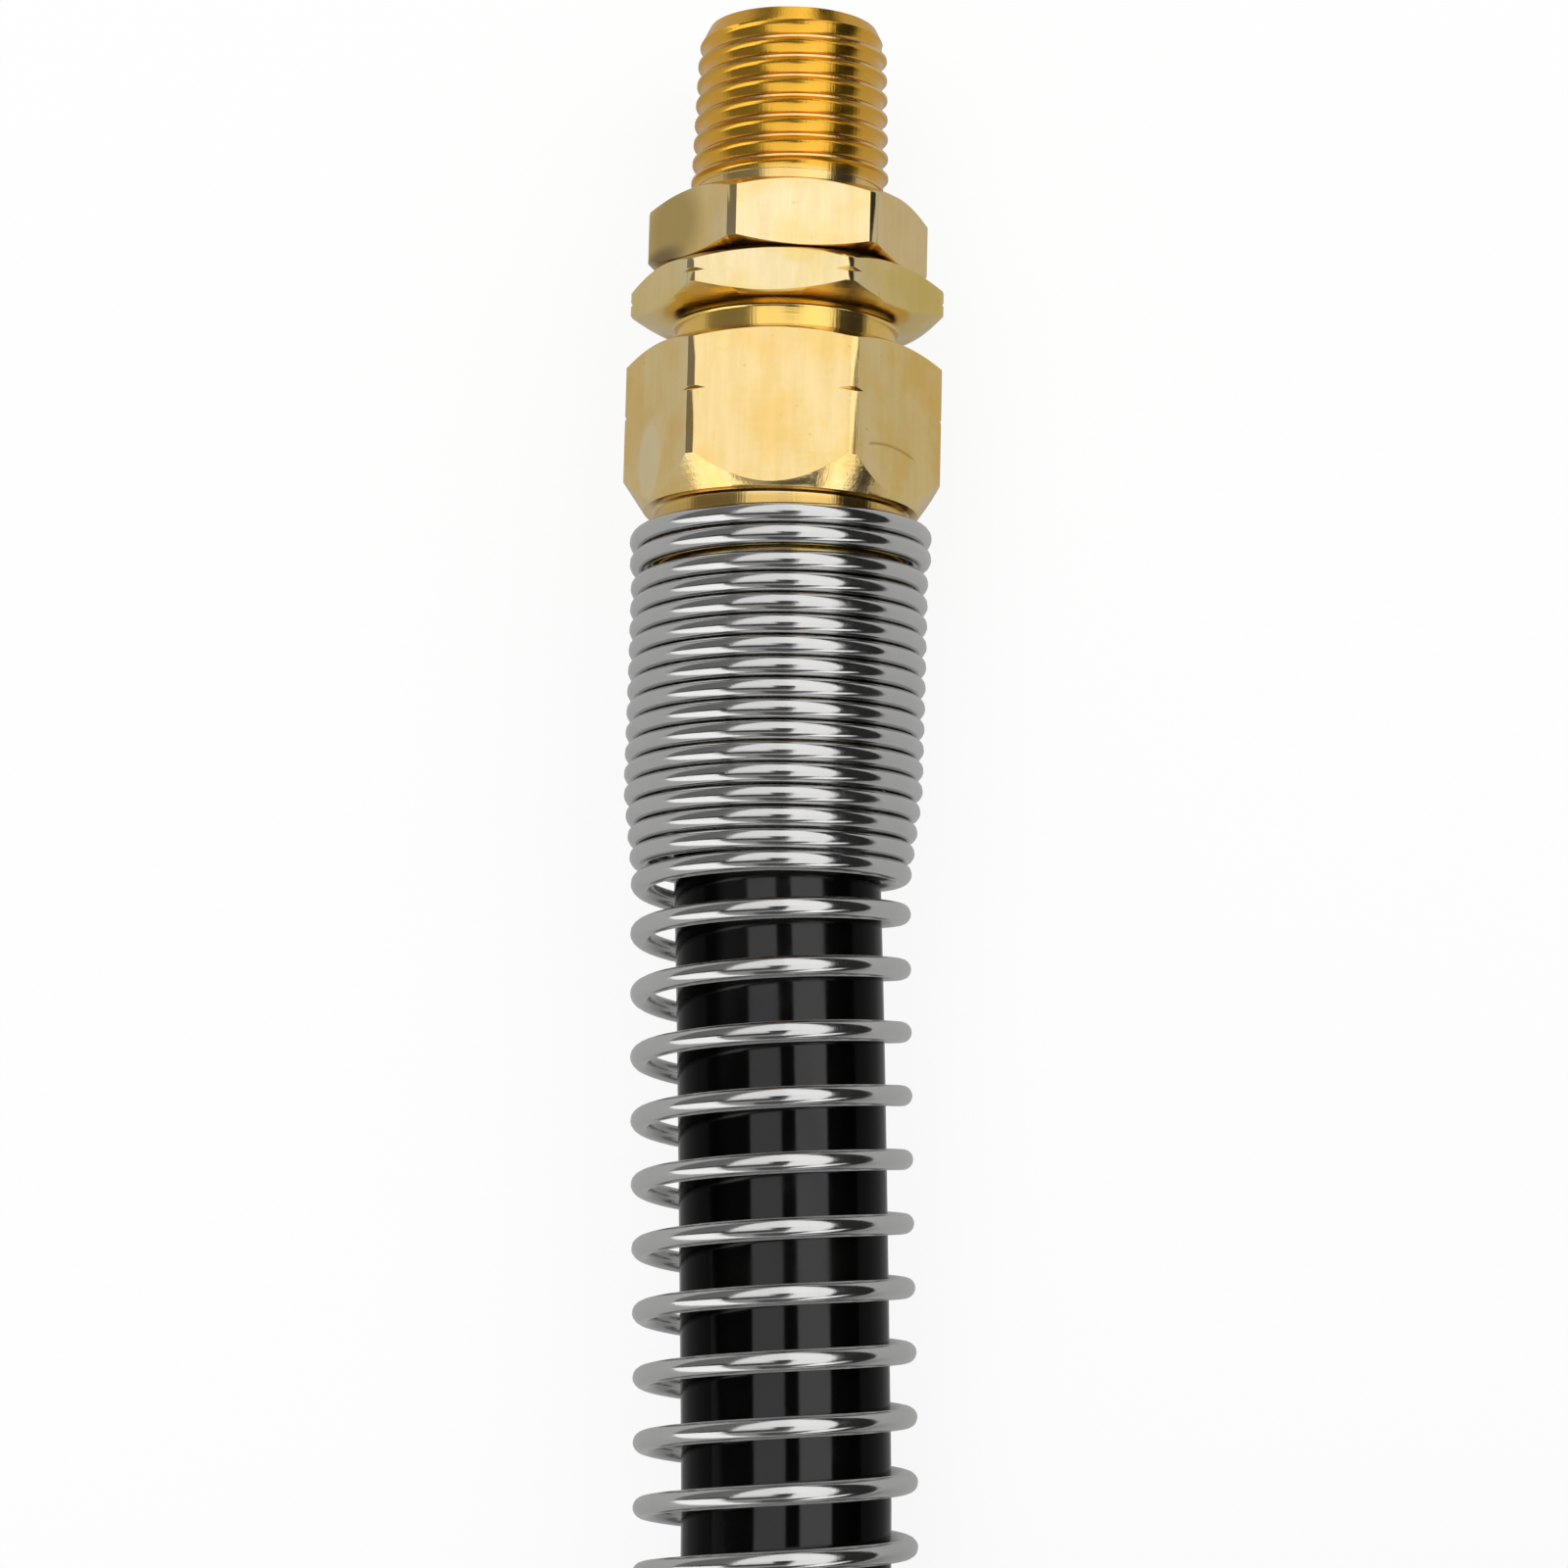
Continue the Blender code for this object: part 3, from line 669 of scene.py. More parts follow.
print("Radius in mm at turns 0, 10 and 20:", [guard_radius(turn) / MM for turn in (0, 10, 20)])

# %% The guard's line
GUARD_FROM = 35.532 * MM
GUARD_START_ANGLE = math.radians(90)
WIRE_STEPS = 56
GUARD_ROUTE = (
    (30.0, 0.00, 0.05), (45.0, -0.05, 0.00), (59.0, -0.12, 0.00), (70.0, 0.14, -0.08),
    (81.0, 0.50, -0.22), (92.0, 0.92, -0.40), (102.0, 1.22, -0.56), (112.0, 1.35, -0.70),
    (128.0, 1.38, -0.85),
)

guard_line = []
station = GUARD_FROM
for step in range(int((CLOSE_TURNS + OPEN_TURNS + END_TURNS) * WIRE_STEPS) + 1):
    turn = step / WIRE_STEPS
    side, rise = along_route(GUARD_ROUTE, station)
    angle = GUARD_START_ANGLE - 2 * math.pi * turn
    radius = guard_radius(turn)
    guard_line.append(LAID_DOWN @ Vector((
        side + radius * math.cos(angle), -rise + radius * math.sin(angle), -station,
    )))
    station += guard_pitch(turn + 0.5 / WIRE_STEPS) / WIRE_STEPS
print("Guard:", len(guard_line), "points, stations", GUARD_FROM / MM, "to", round(station / MM, 1))

# %% The guard's wire
WIRE_R = 0.7 * MM
WIRE_MERGE = 0.002 * MM
WIRE_SMOOTH_ANGLE = math.radians(40)

near_guard = tube_along("near_guard", guard_line, WIRE_R, 7)
only(near_guard)
bpy.ops.object.convert(target="MESH")
near_guard = bpy.context.object
near_guard.name = "near_guard"
near_guard.data.name = "near_guard"
edit_all()
bpy.ops.mesh.remove_doubles(threshold=WIRE_MERGE)
bpy.ops.mesh.normals_make_consistent(inside=False)
bpy.ops.object.mode_set(mode="OBJECT")
bpy.ops.object.shade_smooth_by_angle(angle=WIRE_SMOOTH_ANGLE)
print("Guard:", len(near_guard.data.polygons), "faces")

# %% [markdown]
# ## Finishes
# A finish is more than a colour. Drawn bar has fine lines along it and turned faces have fine
# rings, and both have cloudy, slightly tarnished patches. A thread's valleys are painted a deeper
# colour, as painted shade and painted reflection of the brass in its grooves. These effects are
# shader node groups, made once and placed in each material with its own values. All of them read
# Object coordinates, shifted to the axis of the fitting that the point belongs to.

# %% Helpers for nodes and groups
VALUE = "NodeSocketFloat"
VECTOR = "NodeSocketVector"


def set_inputs(tree, node, inputs):
    """Puts numbers, colours or other nodes' sockets on inputs, named or counted from 0."""
    for label, value in inputs.items():
        if isinstance(value, (int, float, tuple)):
            node.inputs[label].default_value = value
        else:
            tree.links.new(value, node.inputs[label])


def add_node(tree, kind, inputs=None, **settings):
    node = tree.nodes.new(kind)
    for key, value in settings.items():
        setattr(node, key, value)
    set_inputs(tree, node, inputs or {})
    return node


def new_group(name, inputs, outputs):
    """An empty shader node group with float inputs and outputs of the given kinds."""
    group = bpy.data.node_groups.new(name, "ShaderNodeTree")
    for label, value in inputs.items():
        socket = group.interface.new_socket(name=label, in_out="INPUT", socket_type=VALUE)
        socket.default_value = value
    for label, kind in outputs.items():
        group.interface.new_socket(name=label, in_out="OUTPUT", socket_type=kind)
    return group, add_node(group, "NodeGroupInput"), add_node(group, "NodeGroupOutput")


def give(tree, end, **results):
    """Joins each socket to the group's output of that name, and prints the group's name."""
    set_inputs(tree, end, results)
    print("Group:", tree.name)


def use_group(tree, group, **values):
    inputs = {label.replace("_", " ").capitalize(): value for label, value in values.items()}
    return add_node(tree, "ShaderNodeGroup", inputs, node_tree=group)


# %% Helpers for values, vectors and colours
def maths(tree, operation, *values):
    inputs = dict(enumerate(values))
    return add_node(tree, "ShaderNodeMath", inputs, operation=operation).outputs[0]


def vector_maths(tree, operation, vector, other):
    """A Vector Math node. Its other input is a vector, or for SCALE a number."""
    inputs = {0: vector, "Scale" if operation == "SCALE" else 1: other}
    return add_node(tree, "ShaderNodeVectorMath", inputs, operation=operation).outputs[0]


def vector_of(tree, *values):
    return add_node(tree, "ShaderNodeCombineXYZ", dict(enumerate(values))).outputs[0]


def split(tree, vector):
    """The X, Y and Z sockets of a vector."""
    return add_node(tree, "ShaderNodeSeparateXYZ", {0: vector}).outputs


def noise(tree, vector, scale, detail=2.0, roughness=0.5):
    inputs = {"Vector": vector, "Scale": scale, "Detail": detail, "Roughness": roughness}
    return add_node(tree, "ShaderNodeTexNoise", inputs).outputs["Fac"]


def between(tree, value, low, high, start=0.0, end=1.0, kind="SMOOTHSTEP"):
    """Maps a value from one range to another, and stays inside it."""
    inputs = {"Value": value, "From Min": low, "From Max": high, "To Min": start, "To Max": end}
    node = add_node(tree, "ShaderNodeMapRange", inputs, interpolation_type=kind)
    return node.outputs["Result"]


def blend_colour(tree, factor, first, second):
    """Mixes two colours, each given as three numbers or as a socket."""
    node = add_node(tree, "ShaderNodeMix", {"Factor": factor}, data_type="RGBA")
    places = [socket.identifier for socket in node.inputs]
    for label, value in (("A_Color", first), ("B_Color", second)):
        colour = (*value, 1) if isinstance(value, tuple) else value
        set_inputs(tree, node, {places.index(label): colour})
    return next(socket for socket in node.outputs if socket.identifier == "Result_Color")


# %% Where a point is on its own fitting
fitting_place, start, end = new_group(
    "fitting_place", {}, {"Place": VECTOR, "Along": VALUE, "Radius": VALUE},
)


def object_place(tree):
    return add_node(tree, "ShaderNodeTexCoord").outputs["Object"]


tree = fitting_place
x, y, z = split(tree, object_place(tree))
which_end = maths(tree, "SIGN", y)
side = maths(tree, "ADD", maths(tree, "MULTIPLY", x, which_end), END_X)
along = maths(tree, "SUBTRACT", TIP_Y, maths(tree, "MULTIPLY", y, which_end))
rise = maths(tree, "SUBTRACT", z, AXIS_HEIGHT)
side_square = maths(tree, "MULTIPLY", side, side)
rise_square = maths(tree, "MULTIPLY", rise, rise)
radius = maths(tree, "SQRT", maths(tree, "ADD", side_square, rise_square))
give(tree, end, Place=vector_of(tree, side, along, rise), Along=along, Radius=radius)

# %% [markdown]
# A bar is drawn through a die, which leaves lines along it. Noise that is stretched along the bar
# looks like them. A lathe's tool leaves rings, which depend only on the station and the radius.

# %% Fine lines along drawn bar
drawn_lines, start, end = new_group(
    "drawn_lines", {"Lines per metre": 5000.0, "Length": 0.006}, {"Height": VALUE},
)
tree = drawn_lines
per_metre = start.outputs["Lines per metre"]
lengthwise = maths(tree, "DIVIDE", 1.0, start.outputs["Length"])
stretch = vector_of(tree, per_metre, lengthwise, per_metre)
place = use_group(tree, fitting_place).outputs["Place"]
stretched = vector_maths(tree, "MULTIPLY", place, stretch)
give(tree, end, Height=noise(tree, stretched, 1.0, 3.0, 0.65))

# %% Fine rings left by the lathe
lathe_rings, start, end = new_group("lathe_rings", {"Rings per metre": 8000.0}, {"Height": VALUE})
tree = lathe_rings
place = use_group(tree, fitting_place)
section = vector_of(tree, place.outputs["Along"], place.outputs["Radius"])
scaled = vector_maths(tree, "SCALE", section, start.outputs["Rings per metre"])
give(tree, end, Height=noise(tree, scaled, 1.0, 2.0, 0.6))

# %% [markdown]
# Brass tarnishes in soft clouds, with a few small spots, and its colour runs in streaks along the
# bar. Each is a noise of its own size, and only its upper part shows.

# %% Cloudy tarnish, small spots and streaks
STREAKS_PER_METRE = (900, 120, 900)
tarnish, start, end = new_group(
    "tarnish", {"Cloud size": 0.004, "Spot size": 0.0006},
    {"Clouds": VALUE, "Spots": VALUE, "Streaks": VALUE},
)
tree = tarnish
place = use_group(tree, fitting_place).outputs["Place"]


def patches(size, detail, low, high):
    finer = vector_maths(tree, "SCALE", place, maths(tree, "DIVIDE", 1.0, start.outputs[size]))
    return between(tree, noise(tree, finer, 1.0, detail, 0.55), low, high)


streaked = noise(tree, vector_maths(tree, "MULTIPLY", place, STREAKS_PER_METRE), 1.0, 4.0, 0.6)
give(
    tree, end, Clouds=patches("Cloud size", 4.0, 0.38, 0.66),
    Spots=patches("Spot size", 2.0, 0.70, 0.78), Streaks=between(tree, streaked, 0.35, 0.7),
)


# %% A mark in one place
def mark(tree, centre, radii, soft=0.5):
    """1 inside an ellipsoid, given in mm to the side, along and up the fitting, and 0 outside."""
    place = use_group(tree, fitting_place).outputs["Place"]
    offset = vector_maths(tree, "SUBTRACT", place, tuple(value * MM for value in centre))
    scaled = vector_maths(tree, "DIVIDE", offset, tuple(value * MM for value in radii))
    size = add_node(tree, "ShaderNodeVectorMath", {0: scaled}, operation="LENGTH")
    return between(tree, size.outputs["Value"], 1 - soft, 1.0, 1.0, 0.0)


# %% [markdown]
# A thread's valleys are painted a deeper amber. This is painted shade and painted reflection of
# the brass in its own grooves. A point lies in the thread's valleys where its radius is less than
# the taper's at its station.

# %% The thread's valleys
VALLEY_FROM = 0.01 * MM
VALLEY_TO = 0.12 * MM
painted_valley_shade, start, end = new_group("painted_valley_shade", {}, {"Depth": VALUE, "Thread": VALUE})
tree = painted_valley_shade
place = use_group(tree, fitting_place)
along = place.outputs["Along"]
crest_r = maths(tree, "ADD", maths(tree, "MULTIPLY", along, THREAD_TAPER), THREAD_R)
sunk = maths(tree, "SUBTRACT", crest_r, place.outputs["Radius"])
on_thread = between(tree, along, THREAD_LENGTH - 0.4 * MM, THREAD_LENGTH + 0.2 * MM, 1.0, 0.0)
depth = between(tree, sunk, VALLEY_FROM, VALLEY_TO)
give(tree, end, Depth=maths(tree, "MULTIPLY", depth, on_thread), Thread=on_thread)

# %% [markdown]
# ## Brass
# The three brass pieces come from different bars, so each has its own colours. The upper side,
# which faces the lamps, is painted paler as a painted highlight. A few marks are painted where the
# photograph has them, most of them painted shade, painted highlight and painted reflection.

# %% Brass, drawn and turned
GRAIN_HEIGHT = 0.02 * MM
GRAIN_STRENGTH = 0.5
PALE_FROM = 6.2 * MM
PALE_TO = 8.6 * MM
PALE_SHARE = 0.6
STREAK_SHARE = 0.22
STREAK_DARKENS = 0.82
SPOT_SHARE = 0.3
THREAD_ROUGHER = 0.05


def new_finish(name, metallic, roughness):
    material = bpy.data.materials.new(name)
    material.use_nodes = True
    tree = material.node_tree
    shader = tree.nodes["Principled BSDF"]
    set_inputs(tree, shader, {"Metallic": metallic, "Roughness": roughness})
    return material, tree, shader


def stain(tree, mask, share, colour, over):
    """Lays a colour over another where the mask is, at this share."""
    return blend_colour(tree, maths(tree, "MULTIPLY", mask, share), colour, over)


def raise_grain(tree, shader, height, strength, distance):
    """Turns a height into small bumps of the shader's surface."""
    inputs = {"Strength": strength, "Distance": distance, "Height": height}
    raised = add_node(tree, "ShaderNodeBump", inputs)
    set_inputs(tree, shader, {"Normal": raised.outputs["Normal"]})


def brass_finish(name, pale, deep, dark, top, lines, roughness, painted_valley=None, marks=()):
    """Brass with clouds, a top painted paler as a highlight, streaks, spots and marks, painted
    shade in a thread's valleys, and the lines of its bar.
    """
    material, tree, shader = new_finish(name, 1.0, 0.3)
    aged = use_group(tree, tarnish).outputs
    height = split(tree, use_group(tree, fitting_place).outputs["Place"])["Z"]
    mixed = blend_colour(tree, aged["Clouds"], pale, deep)
    # Painted highlight: the upper side, which faces the lamps, is painted paler.
    painted_highlight = between(tree, height, PALE_FROM, PALE_TO, 0.0, PALE_SHARE)
    mixed = stain(tree, painted_highlight, between(tree, aged["Clouds"], 0.0, 1.0, 1.0, 0.5), mixed, top)
    streak = tuple(value * STREAK_DARKENS for value in deep)
    mixed = stain(tree, aged["Streaks"], STREAK_SHARE, mixed, streak)
    mixed = stain(tree, aged["Spots"], SPOT_SHARE, mixed, dark)
    for centre, radii, soft, share, colour in marks:
        mixed = stain(tree, mark(tree, centre, radii, soft), share, mixed, colour)
    rings = use_group(tree, lathe_rings, rings_per_metre=lines / 2).outputs["Height"]
    bar_lines = use_group(tree, drawn_lines, lines_per_metre=lines).outputs["Height"]
    fine = maths(tree, "ADD", rings, bar_lines)
    streaky = maths(tree, "MULTIPLY", aged["Streaks"], 0.3)
    rough = maths(tree, "ADD", maths(tree, "MULTIPLY", fine, 0.5), streaky)
    rough = between(tree, rough, 0.35, 0.9, *roughness, kind="LINEAR")
    if painted_valley:
        # Painted shade: the thread's valleys take a deeper amber colour, in place of the shade and
        # reflected light in its grooves.
        valley_shade = use_group(tree, painted_valley_shade).outputs
        mixed = blend_colour(tree, valley_shade["Depth"], mixed, painted_valley)
        rougher = maths(tree, "MULTIPLY", valley_shade["Thread"], THREAD_ROUGHER)
        rough = maths(tree, "ADD", rough, rougher)
    set_inputs(tree, shader, {"Base Color": mixed, "Roughness": rough})
    raise_grain(tree, shader, fine, GRAIN_STRENGTH, GRAIN_HEIGHT)
    return material


# %% The four kinds of brass
stem_brass = brass_finish(
    "stem_brass", pale=(0.86, 0.64, 0.28), deep=(0.84, 0.59, 0.21), dark=(0.45, 0.30, 0.10),
    top=(0.87, 0.72, 0.48), lines=6000, roughness=(0.12, 0.22), painted_valley=(0.80, 0.43, 0.05),
    marks=(
        # Marks: painted shade on the hexagon's left flats and a darker painted shade at its lower
        # left corner, a paler and greyer band round the tip, and painted shade on the thread's
        # left side.
        ((-7.8, 15.2, 3.5), (3.4, 4.2, 5.4), 0.6, 0.9, (0.50, 0.36, 0.12)),
        ((-8.6, 17.3, 2.6), (2.8, 1.3, 3.9), 0.8, 0.9, (0.22, 0.15, 0.07)),
        ((0.0, 0.0, 0.0), (9.0, 1.0, 9.0), 0.5, 0.5, (0.74, 0.58, 0.42)),
        ((-5.2, 6.0, 4.4), (3.4, 7.5, 6.0), 0.6, 0.6, (0.50, 0.30, 0.08)),
    ),
)
body_brass = brass_finish(
    "body_brass", pale=(0.85, 0.64, 0.26), deep=(0.82, 0.60, 0.17), dark=(0.45, 0.30, 0.10),
    top=(0.87, 0.76, 0.52), lines=6000, roughness=(0.12, 0.22),
    marks=(
        # Marks: painted shade on the right side of the collar, and a painted glow of reflected
        # light round the neck.
        ((9.0, 19.5, 5.0), (3.5, 2.5, 6.0), 0.7, 0.6, (0.73, 0.55, 0.17)),
        ((0.0, 22.3, 0.0), (14.0, 1.3, 14.0), 0.3, 0.85, (0.92, 0.60, 0.14)),
    ),
)
nut_brass = brass_finish(
    "nut_brass", pale=(0.87, 0.66, 0.28), deep=(0.86, 0.57, 0.16), dark=(0.45, 0.28, 0.08),
    top=(0.88, 0.68, 0.36), lines=6000, roughness=(0.10, 0.20),
    marks=(
        # Marks: a painted highlight on the upper left of the hexagon, and painted shade round the
        # nut where its cone meets the barrel.
        ((-9.1, 31.6, 3.4), (1.3, 3.0, 2.4), 0.25, 0.75, (0.86, 0.72, 0.43)),
        ((0.0, 35.5, 0.0), (16.0, 1.2, 16.0), 0.3, 0.85, (0.66, 0.42, 0.12)),
    ),
)
turned_brass = brass_finish(
    "turned_brass", pale=(0.86, 0.60, 0.24), deep=(0.84, 0.55, 0.18), dark=(0.42, 0.24, 0.07),
    top=(0.86, 0.62, 0.26), lines=9000, roughness=(0.14, 0.30),
)
print("Materials:", stem_brass.name, body_brass.name, nut_brass.name, turned_brass.name)

# %% [markdown]
# The nut has one thin, curved scratch, which is darker than the brass. It is the band between two
# spheres, seen only near one place on the nut's right flat.

# %% A scratch on the nut
SCRATCH_CENTRE = (7.35, 42.15, 6.26)
SCRATCH_R = 11.4
SCRATCH_HALF = 0.10
SCRATCH_PLACE = (7.35, 30.9, 6.3)
SCRATCH_REACH = (2.4, 1.5, 3.6)
SCRATCH_SHARE = 0.55
SCRATCH_COLOUR = (0.40, 0.24, 0.07)

tree = nut_brass.node_tree
shader = tree.nodes["Principled BSDF"]
outer, inner = (
    mark(tree, SCRATCH_CENTRE, (radius,) * 3, 0.01)
    for radius in (SCRATCH_R + SCRATCH_HALF, SCRATCH_R - SCRATCH_HALF)
)
near_flat = mark(tree, SCRATCH_PLACE, SCRATCH_REACH, 0.2)
band = maths(tree, "MULTIPLY", maths(tree, "SUBTRACT", outer, inner), near_flat)
unmarked = shader.inputs["Base Color"].links[0].from_socket
scratched = stain(tree, band, SCRATCH_SHARE, unmarked, SCRATCH_COLOUR)
set_inputs(tree, shader, {"Base Color": scratched})
print("Scratch added to", nut_brass.name)

# %% [markdown]
# ## Wire and hose
# The guard is spring wire, plated bright. It mirrors the studio sharply, so it only needs a hint
# of wear. Polyurethane is a glossy black plastic that mirrors little where it is seen edge on.

# %% Bright wire
chromed_wire, tree, shader = new_finish("bright_wire", 1.0, 0.12)
place = object_place(tree)
dull = between(tree, noise(tree, place, 900, 3.0), 0.3, 0.75, 0.10, 0.18)
tone = blend_colour(tree, noise(tree, place, 250, 3.0), (0.53, 0.53, 0.53), (0.60, 0.595, 0.585))
set_inputs(tree, shader, {"Base Color": tone, "Roughness": dull})
raise_grain(tree, shader, noise(tree, place, 5000, 2.0), 0.25, 0.01 * MM)
print("Material:", chromed_wire.name)

# %% Black polyurethane
black_hose, tree, shader = new_finish("black_polyurethane", 0.0, 0.2)
edge_on = add_node(tree, "ShaderNodeLayerWeight", {"Blend": 0.5})
mirroring = between(tree, edge_on.outputs["Facing"], 0.12, 0.23, 0.5, 0.05)
place = object_place(tree)
skin = noise(tree, place, 420, 3.0)
scuff = between(tree, noise(tree, place, 60, 6.0, 0.6), 0.45, 0.72)
tone = blend_colour(tree, scuff, (0.0008, 0.0009, 0.0008), (0.0022, 0.0024, 0.0021))
dull = between(tree, maths(tree, "ADD", skin, scuff), 0.4, 1.5, 0.08, 0.17)
inputs = {"Base Color": tone, "Roughness": dull, "Specular IOR Level": mirroring}
set_inputs(tree, shader, inputs)
raise_grain(tree, shader, skin, 0.12, 0.04 * MM)
print("Material:", black_hose.name)

# %% [markdown]
# The O-rings, washers and retaining rings hide inside the fittings. They keep their CAD shapes and
# get plain finishes, each with a fine grain of its own, for whoever takes a fitting apart.


# %% Rubber, nylon and spring steel
def plain_finish(name, first, second, grain, metallic, rough_low, rough_high):
    material, tree, shader = new_finish(name, metallic, rough_high)
    pattern = noise(tree, object_place(tree), grain, 3.0)
    tone = blend_colour(tree, pattern, first, second)
    dull = between(tree, pattern, 0.3, 0.7, rough_low, rough_high)
    set_inputs(tree, shader, {"Base Color": tone, "Roughness": dull})
    raise_grain(tree, shader, pattern, 0.3, GRAIN_HEIGHT)
    return material


seal_rubber = plain_finish(
    "seal_rubber", (0.012, 0.012, 0.012), (0.03, 0.03, 0.03), 2500, 0.0, 0.45, 0.7,
)
white_nylon = plain_finish(
    "white_nylon", (0.72, 0.70, 0.64), (0.80, 0.78, 0.73), 1200, 0.0, 0.35, 0.5,
)
spring_steel = plain_finish(
    "spring_steel", (0.36, 0.36, 0.37), (0.48, 0.48, 0.48), 1800, 1.0, 0.25, 0.4,
)
print("Materials:", seal_rubber.name, white_nylon.name, spring_steel.name)


# %% Give the pieces their finish
def set_material(piece, material):
    piece.data.materials.clear()
    piece.data.materials.append(material)
    for polygon in piece.data.polygons:
        polygon.material_index = 0


near_pieces = (near_stem, near_body, near_nut, near_guard)
for piece, material in zip(near_pieces, (stem_brass, body_brass, nut_brass, chromed_wire)):
    set_material(piece, material)
hose.data.materials.append(black_hose)
print("Finished:", [piece.name for piece in near_pieces], hose.name)

# %% [markdown]
# ## The far end
# The other end of the hose is the same, turned half round about the middle of the coil. Each
# piece is copied with its own mesh, and the half turn goes into that mesh.


# %% Copy the near pieces
def far_copy(piece):
    twin = piece.copy()
    twin.data = piece.data.copy()
    twin.name = piece.name.replace("near", "far")
    twin.data.name = twin.name
    scene.collection.objects.link(twin)
    twin.data.transform(HALF_TURN)
    return twin


far_pieces = [far_copy(piece) for piece in near_pieces]
print("Copied:", [piece.name for piece in far_pieces])

# %% [markdown]
# Each piece now hides the CAD node it stands for and is attached to the body that it moves with.
# The stem turns with its swivel, and all the rest stays with the hose.

# %% Hide the CAD nodes, attach the pieces and finish the small parts
for side, (stem, body, nut, guard) in (("near", near_pieces), ("far", far_pieces)):
    for piece, node, mover, slot in (
        (stem, "swivel_stem", side + "_swivel", "brass"),
        (body, "hose_body", "hose_assembly", "brass"),
        (nut, "clamp_nut", "hose_assembly", "brass"),
        (guard, "spring_guard", "hose_assembly", "chromed_wire"),
    ):
        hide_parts(side + "_" + node)
        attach(piece, mover)
    for node, material in (
        ("stem_oring_1", seal_rubber), ("stem_oring_2", seal_rubber),
        ("thrust_washer", white_nylon), ("retaining_ring", spring_steel),
        ("ferrule", turned_brass),
    ):
        set_material(frame["nodes"][side + "_" + node], material)
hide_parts("near_hose", "hose_coil", "far_hose")
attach(hose, "hose_assembly")
print("Cord declared:", hose.name)

# %% [markdown]
# ## Floor and light
# The object lies on a white sheet under large soft lamps. The sheet is a little whiter to the
# camera than its light makes it, so the ground fades to white but keeps a soft shadow.

# %% The floor
FLOOR_SIZE = 8
SHEET_COLOUR = (0.45, 0.45, 0.445)
SHEET_SEEN = (0.97, 0.97, 0.97)
WHITE_TO_CAMERA = 0.88
WHITE_TO_METAL = 0.25


def choose_shader(tree, share, first, second):
    """Mixes two shaders: a share of 0 gives the first."""
    return add_node(tree, "ShaderNodeMixShader", {0: share, 1: first, 2: second}).outputs[0]


bpy.ops.object.select_all(action="DESELECT")
bpy.ops.mesh.primitive_plane_add(size=FLOOR_SIZE, location=(0, 0, 0))
floor = bpy.context.object
floor.name = "floor"
paper = bpy.data.materials.new("white_paper")
paper.use_nodes = True
tree = paper.node_tree
tree.nodes.clear()
ray = add_node(tree, "ShaderNodeLightPath").outputs
seen_colour = blend_colour(tree, ray["Is Camera Ray"], SHEET_COLOUR, SHEET_SEEN)
sheet = add_node(tree, "ShaderNodeBsdfDiffuse", {"Color": seen_colour})
white = add_node(tree, "ShaderNodeEmission")
to_camera = maths(tree, "MULTIPLY", ray["Is Camera Ray"], WHITE_TO_CAMERA)
to_metal = maths(tree, "MULTIPLY", ray["Is Glossy Ray"], WHITE_TO_METAL)
share = maths(tree, "ADD", to_camera, to_metal)
surface = choose_shader(tree, share, sheet.outputs[0], white.outputs[0])
add_node(tree, "ShaderNodeOutputMaterial", {"Surface": surface})
floor.data.materials.append(paper)
print("Floor:", FLOOR_SIZE, "m square")

# %% [markdown]
# ## What the metal mirrors
# Bright metal looks like what stands round it. A product studio has soft boxes, with black cards
# between them that draw dark lines along round parts. These boxes and cards are painted on the
# world by their angles from straight up, to the side (x) and along the fitting (y), and only
# glossy rays see them. Everything else is lit by the lamps and an even grey room.

# %% A card between angles
card_mask, start, end = new_group(
    "card_mask",
    {"Side": 0.0, "Along": 0.0, "Left": 0.0, "Right": 0.0, "Low": 0.0, "High": 0.0, "Blur": 2.0},
    {"Mask": VALUE},
)
tree = card_mask
given = start.outputs


def past_edge(angle, edge):
    """0 before an edge and 1 after it, with a soft step as wide as the blur."""
    steps = maths(tree, "DIVIDE", maths(tree, "SUBTRACT", angle, edge), given["Blur"])
    return between(tree, maths(tree, "ADD", steps, 0.5), 0.0, 1.0)


across = maths(
    tree, "MULTIPLY",
    past_edge(given["Side"], given["Left"]), past_edge(given["Right"], given["Side"]),
)
lengthwise = maths(
    tree, "MULTIPLY",
    past_edge(given["Along"], given["Low"]), past_edge(given["High"], given["Along"]),
)
give(tree, end, Mask=maths(tree, "MULTIPLY", across, lengthwise))

# %% Paint the boxes and cards
MIRRORED_ROOM = 0.50
ROOM_FALL = 0.8
CARDS = (  # name, left, right, low, high in degrees, brightness, blur in degrees
    ("upper box", -34, 12, 4, 86, 1.16, 3),
    ("upper right box", 10, 54, 4, 86, 1.34, 3),
    ("gap", -3, 14, -12, 9, 0.04, 2),
    ("left box", -36, -1, -12, 4, 0.95, 3),
    ("right box", 15, 55, -50, 4, 1.30, 3),
    ("slot", -43, 14, -34, -12, 0.08, 4),
    ("left flag", -95, -36, 4, 86, 0.20, 4),
    ("left black", -95, -36, -14, 5, 0.03, 3),
    ("left front box", -95, -43, -86, -14, 1.50, 3),
    ("right flag", 50.5, 92, -95, 95, 0.03, 3),
    ("front flag", -14, 45, -82, -48, 0.10, 4),
    ("right front box", 43, 70, -78, -52, 1.50, 3),
)

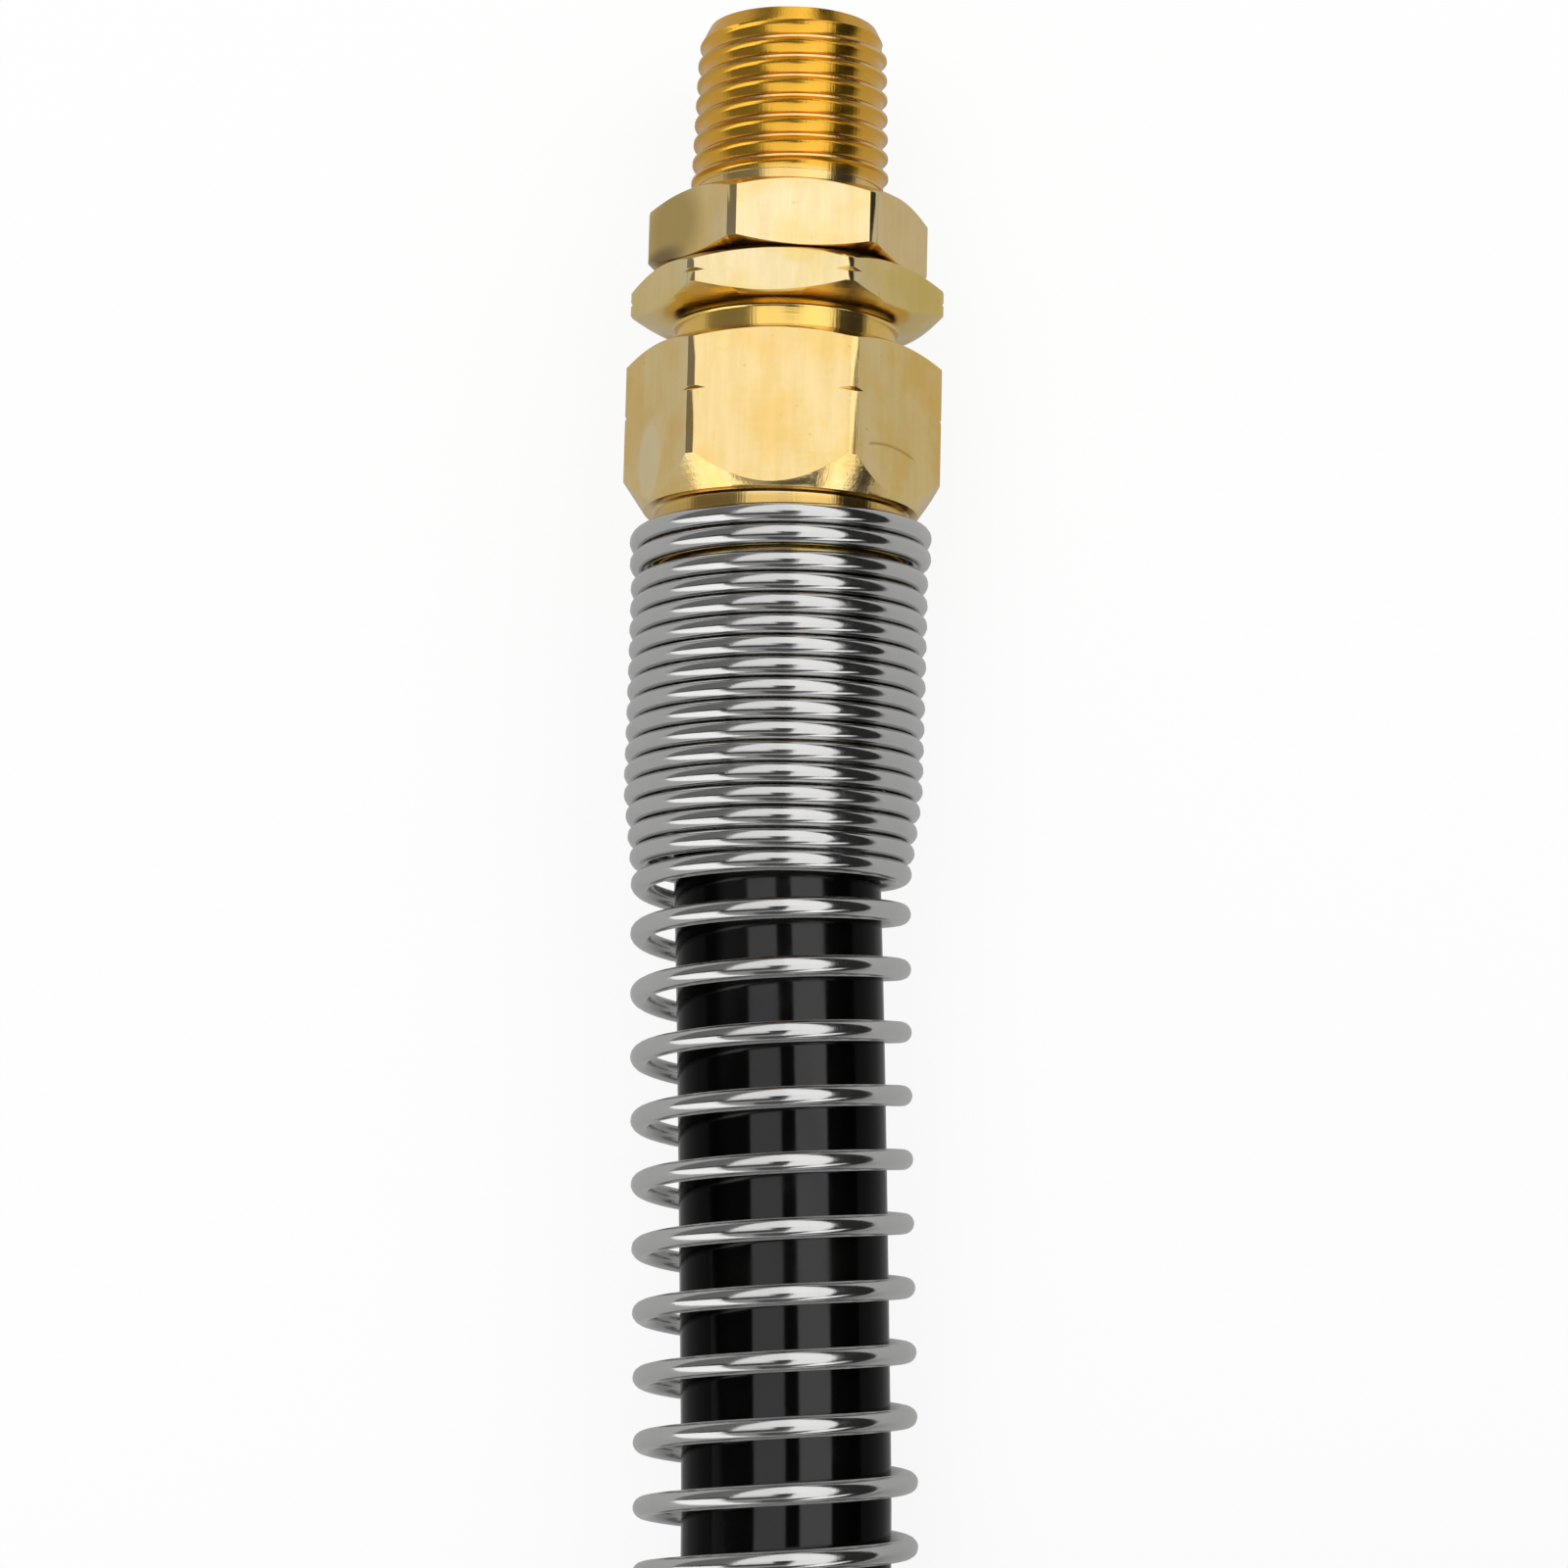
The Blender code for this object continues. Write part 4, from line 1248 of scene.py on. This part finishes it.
world = bpy.data.worlds.new("studio")
scene.world = world
world.use_nodes = True
tree = world.node_tree
tree.nodes.clear()
x, y, z = split(tree, add_node(tree, "ShaderNodeTexCoord").outputs["Generated"])
side_angle, along_angle = (
    maths(tree, "MULTIPLY", maths(tree, "ARCTAN2", value, z), 180 / math.pi) for value in (x, y)
)
level = between(tree, z, 0.0, 0.6, MIRRORED_ROOM, MIRRORED_ROOM * ROOM_FALL)
for name, left, right, low, high, brightness, blur in CARDS:
    card = use_group(
        tree, card_mask, side=side_angle, along=along_angle, left=left, right=right, low=low,
        high=high, blur=blur,
    )
    card.label = name
    inputs = {"Factor": card.outputs["Mask"], "A": level, "B": brightness}
    level = add_node(tree, "ShaderNodeMix", inputs, data_type="FLOAT").outputs["Result"]
print("World:", len(CARDS), "boxes and cards")

# %% What each kind of ray sees
ROOM_LEVEL = 0.45


def background(strength):
    inputs = {"Color": (1, 1, 1, 1), "Strength": strength}
    return add_node(tree, "ShaderNodeBackground", inputs).outputs[0]


ray = add_node(tree, "ShaderNodeLightPath").outputs
indirect = choose_shader(tree, ray["Is Glossy Ray"], background(ROOM_LEVEL), background(level))
surroundings = choose_shader(tree, ray["Is Camera Ray"], indirect, background(1.0))
add_node(tree, "ShaderNodeOutputWorld", {"Surface": surroundings})
print("Room at", ROOM_LEVEL, "and white behind it")

# %% [markdown]
# Two wide lamps hang over the fitting, left and right of the gap. They light the sheet and the
# hose softly, and the metal sees the painted boxes instead of them.

# %% The lamps
LAMP_HEIGHT = 1.5
LAMP_POWER = 7.0
LAMP_ENDS = (-12, 34)
LAMP_SIDES = {"left_lamp": (-36, -2), "right_lamp": (14, 52)}


def overhead(angle):
    """How far to the side a line at this angle in degrees meets the lamps' level."""
    return math.tan(math.radians(angle)) * LAMP_HEIGHT


def soft_lamp(name, low, high):
    """A rectangular lamp that faces down and covers x and y from low to high."""
    data = bpy.data.lights.new(name, "AREA")
    data.shape = "RECTANGLE"
    data.size = high[0] - low[0]
    data.size_y = high[1] - low[1]
    data.energy = LAMP_POWER * data.size * data.size_y
    lamp = bpy.data.objects.new(name, data)
    lamp.location = ((low[0] + high[0]) / 2, (low[1] + high[1]) / 2, LAMP_HEIGHT)
    lamp.visible_camera = False
    lamp.visible_glossy = False
    scene.collection.objects.link(lamp)


eye_x, eye_y = camera.location.xy
for name, sides in LAMP_SIDES.items():
    low, high = (
        (eye_x + overhead(across), eye_y + overhead(lengthwise))
        for across, lengthwise in zip(sides, LAMP_ENDS)
    )
    soft_lamp(name, low, high)
print("Lamps:", list(LAMP_SIDES))
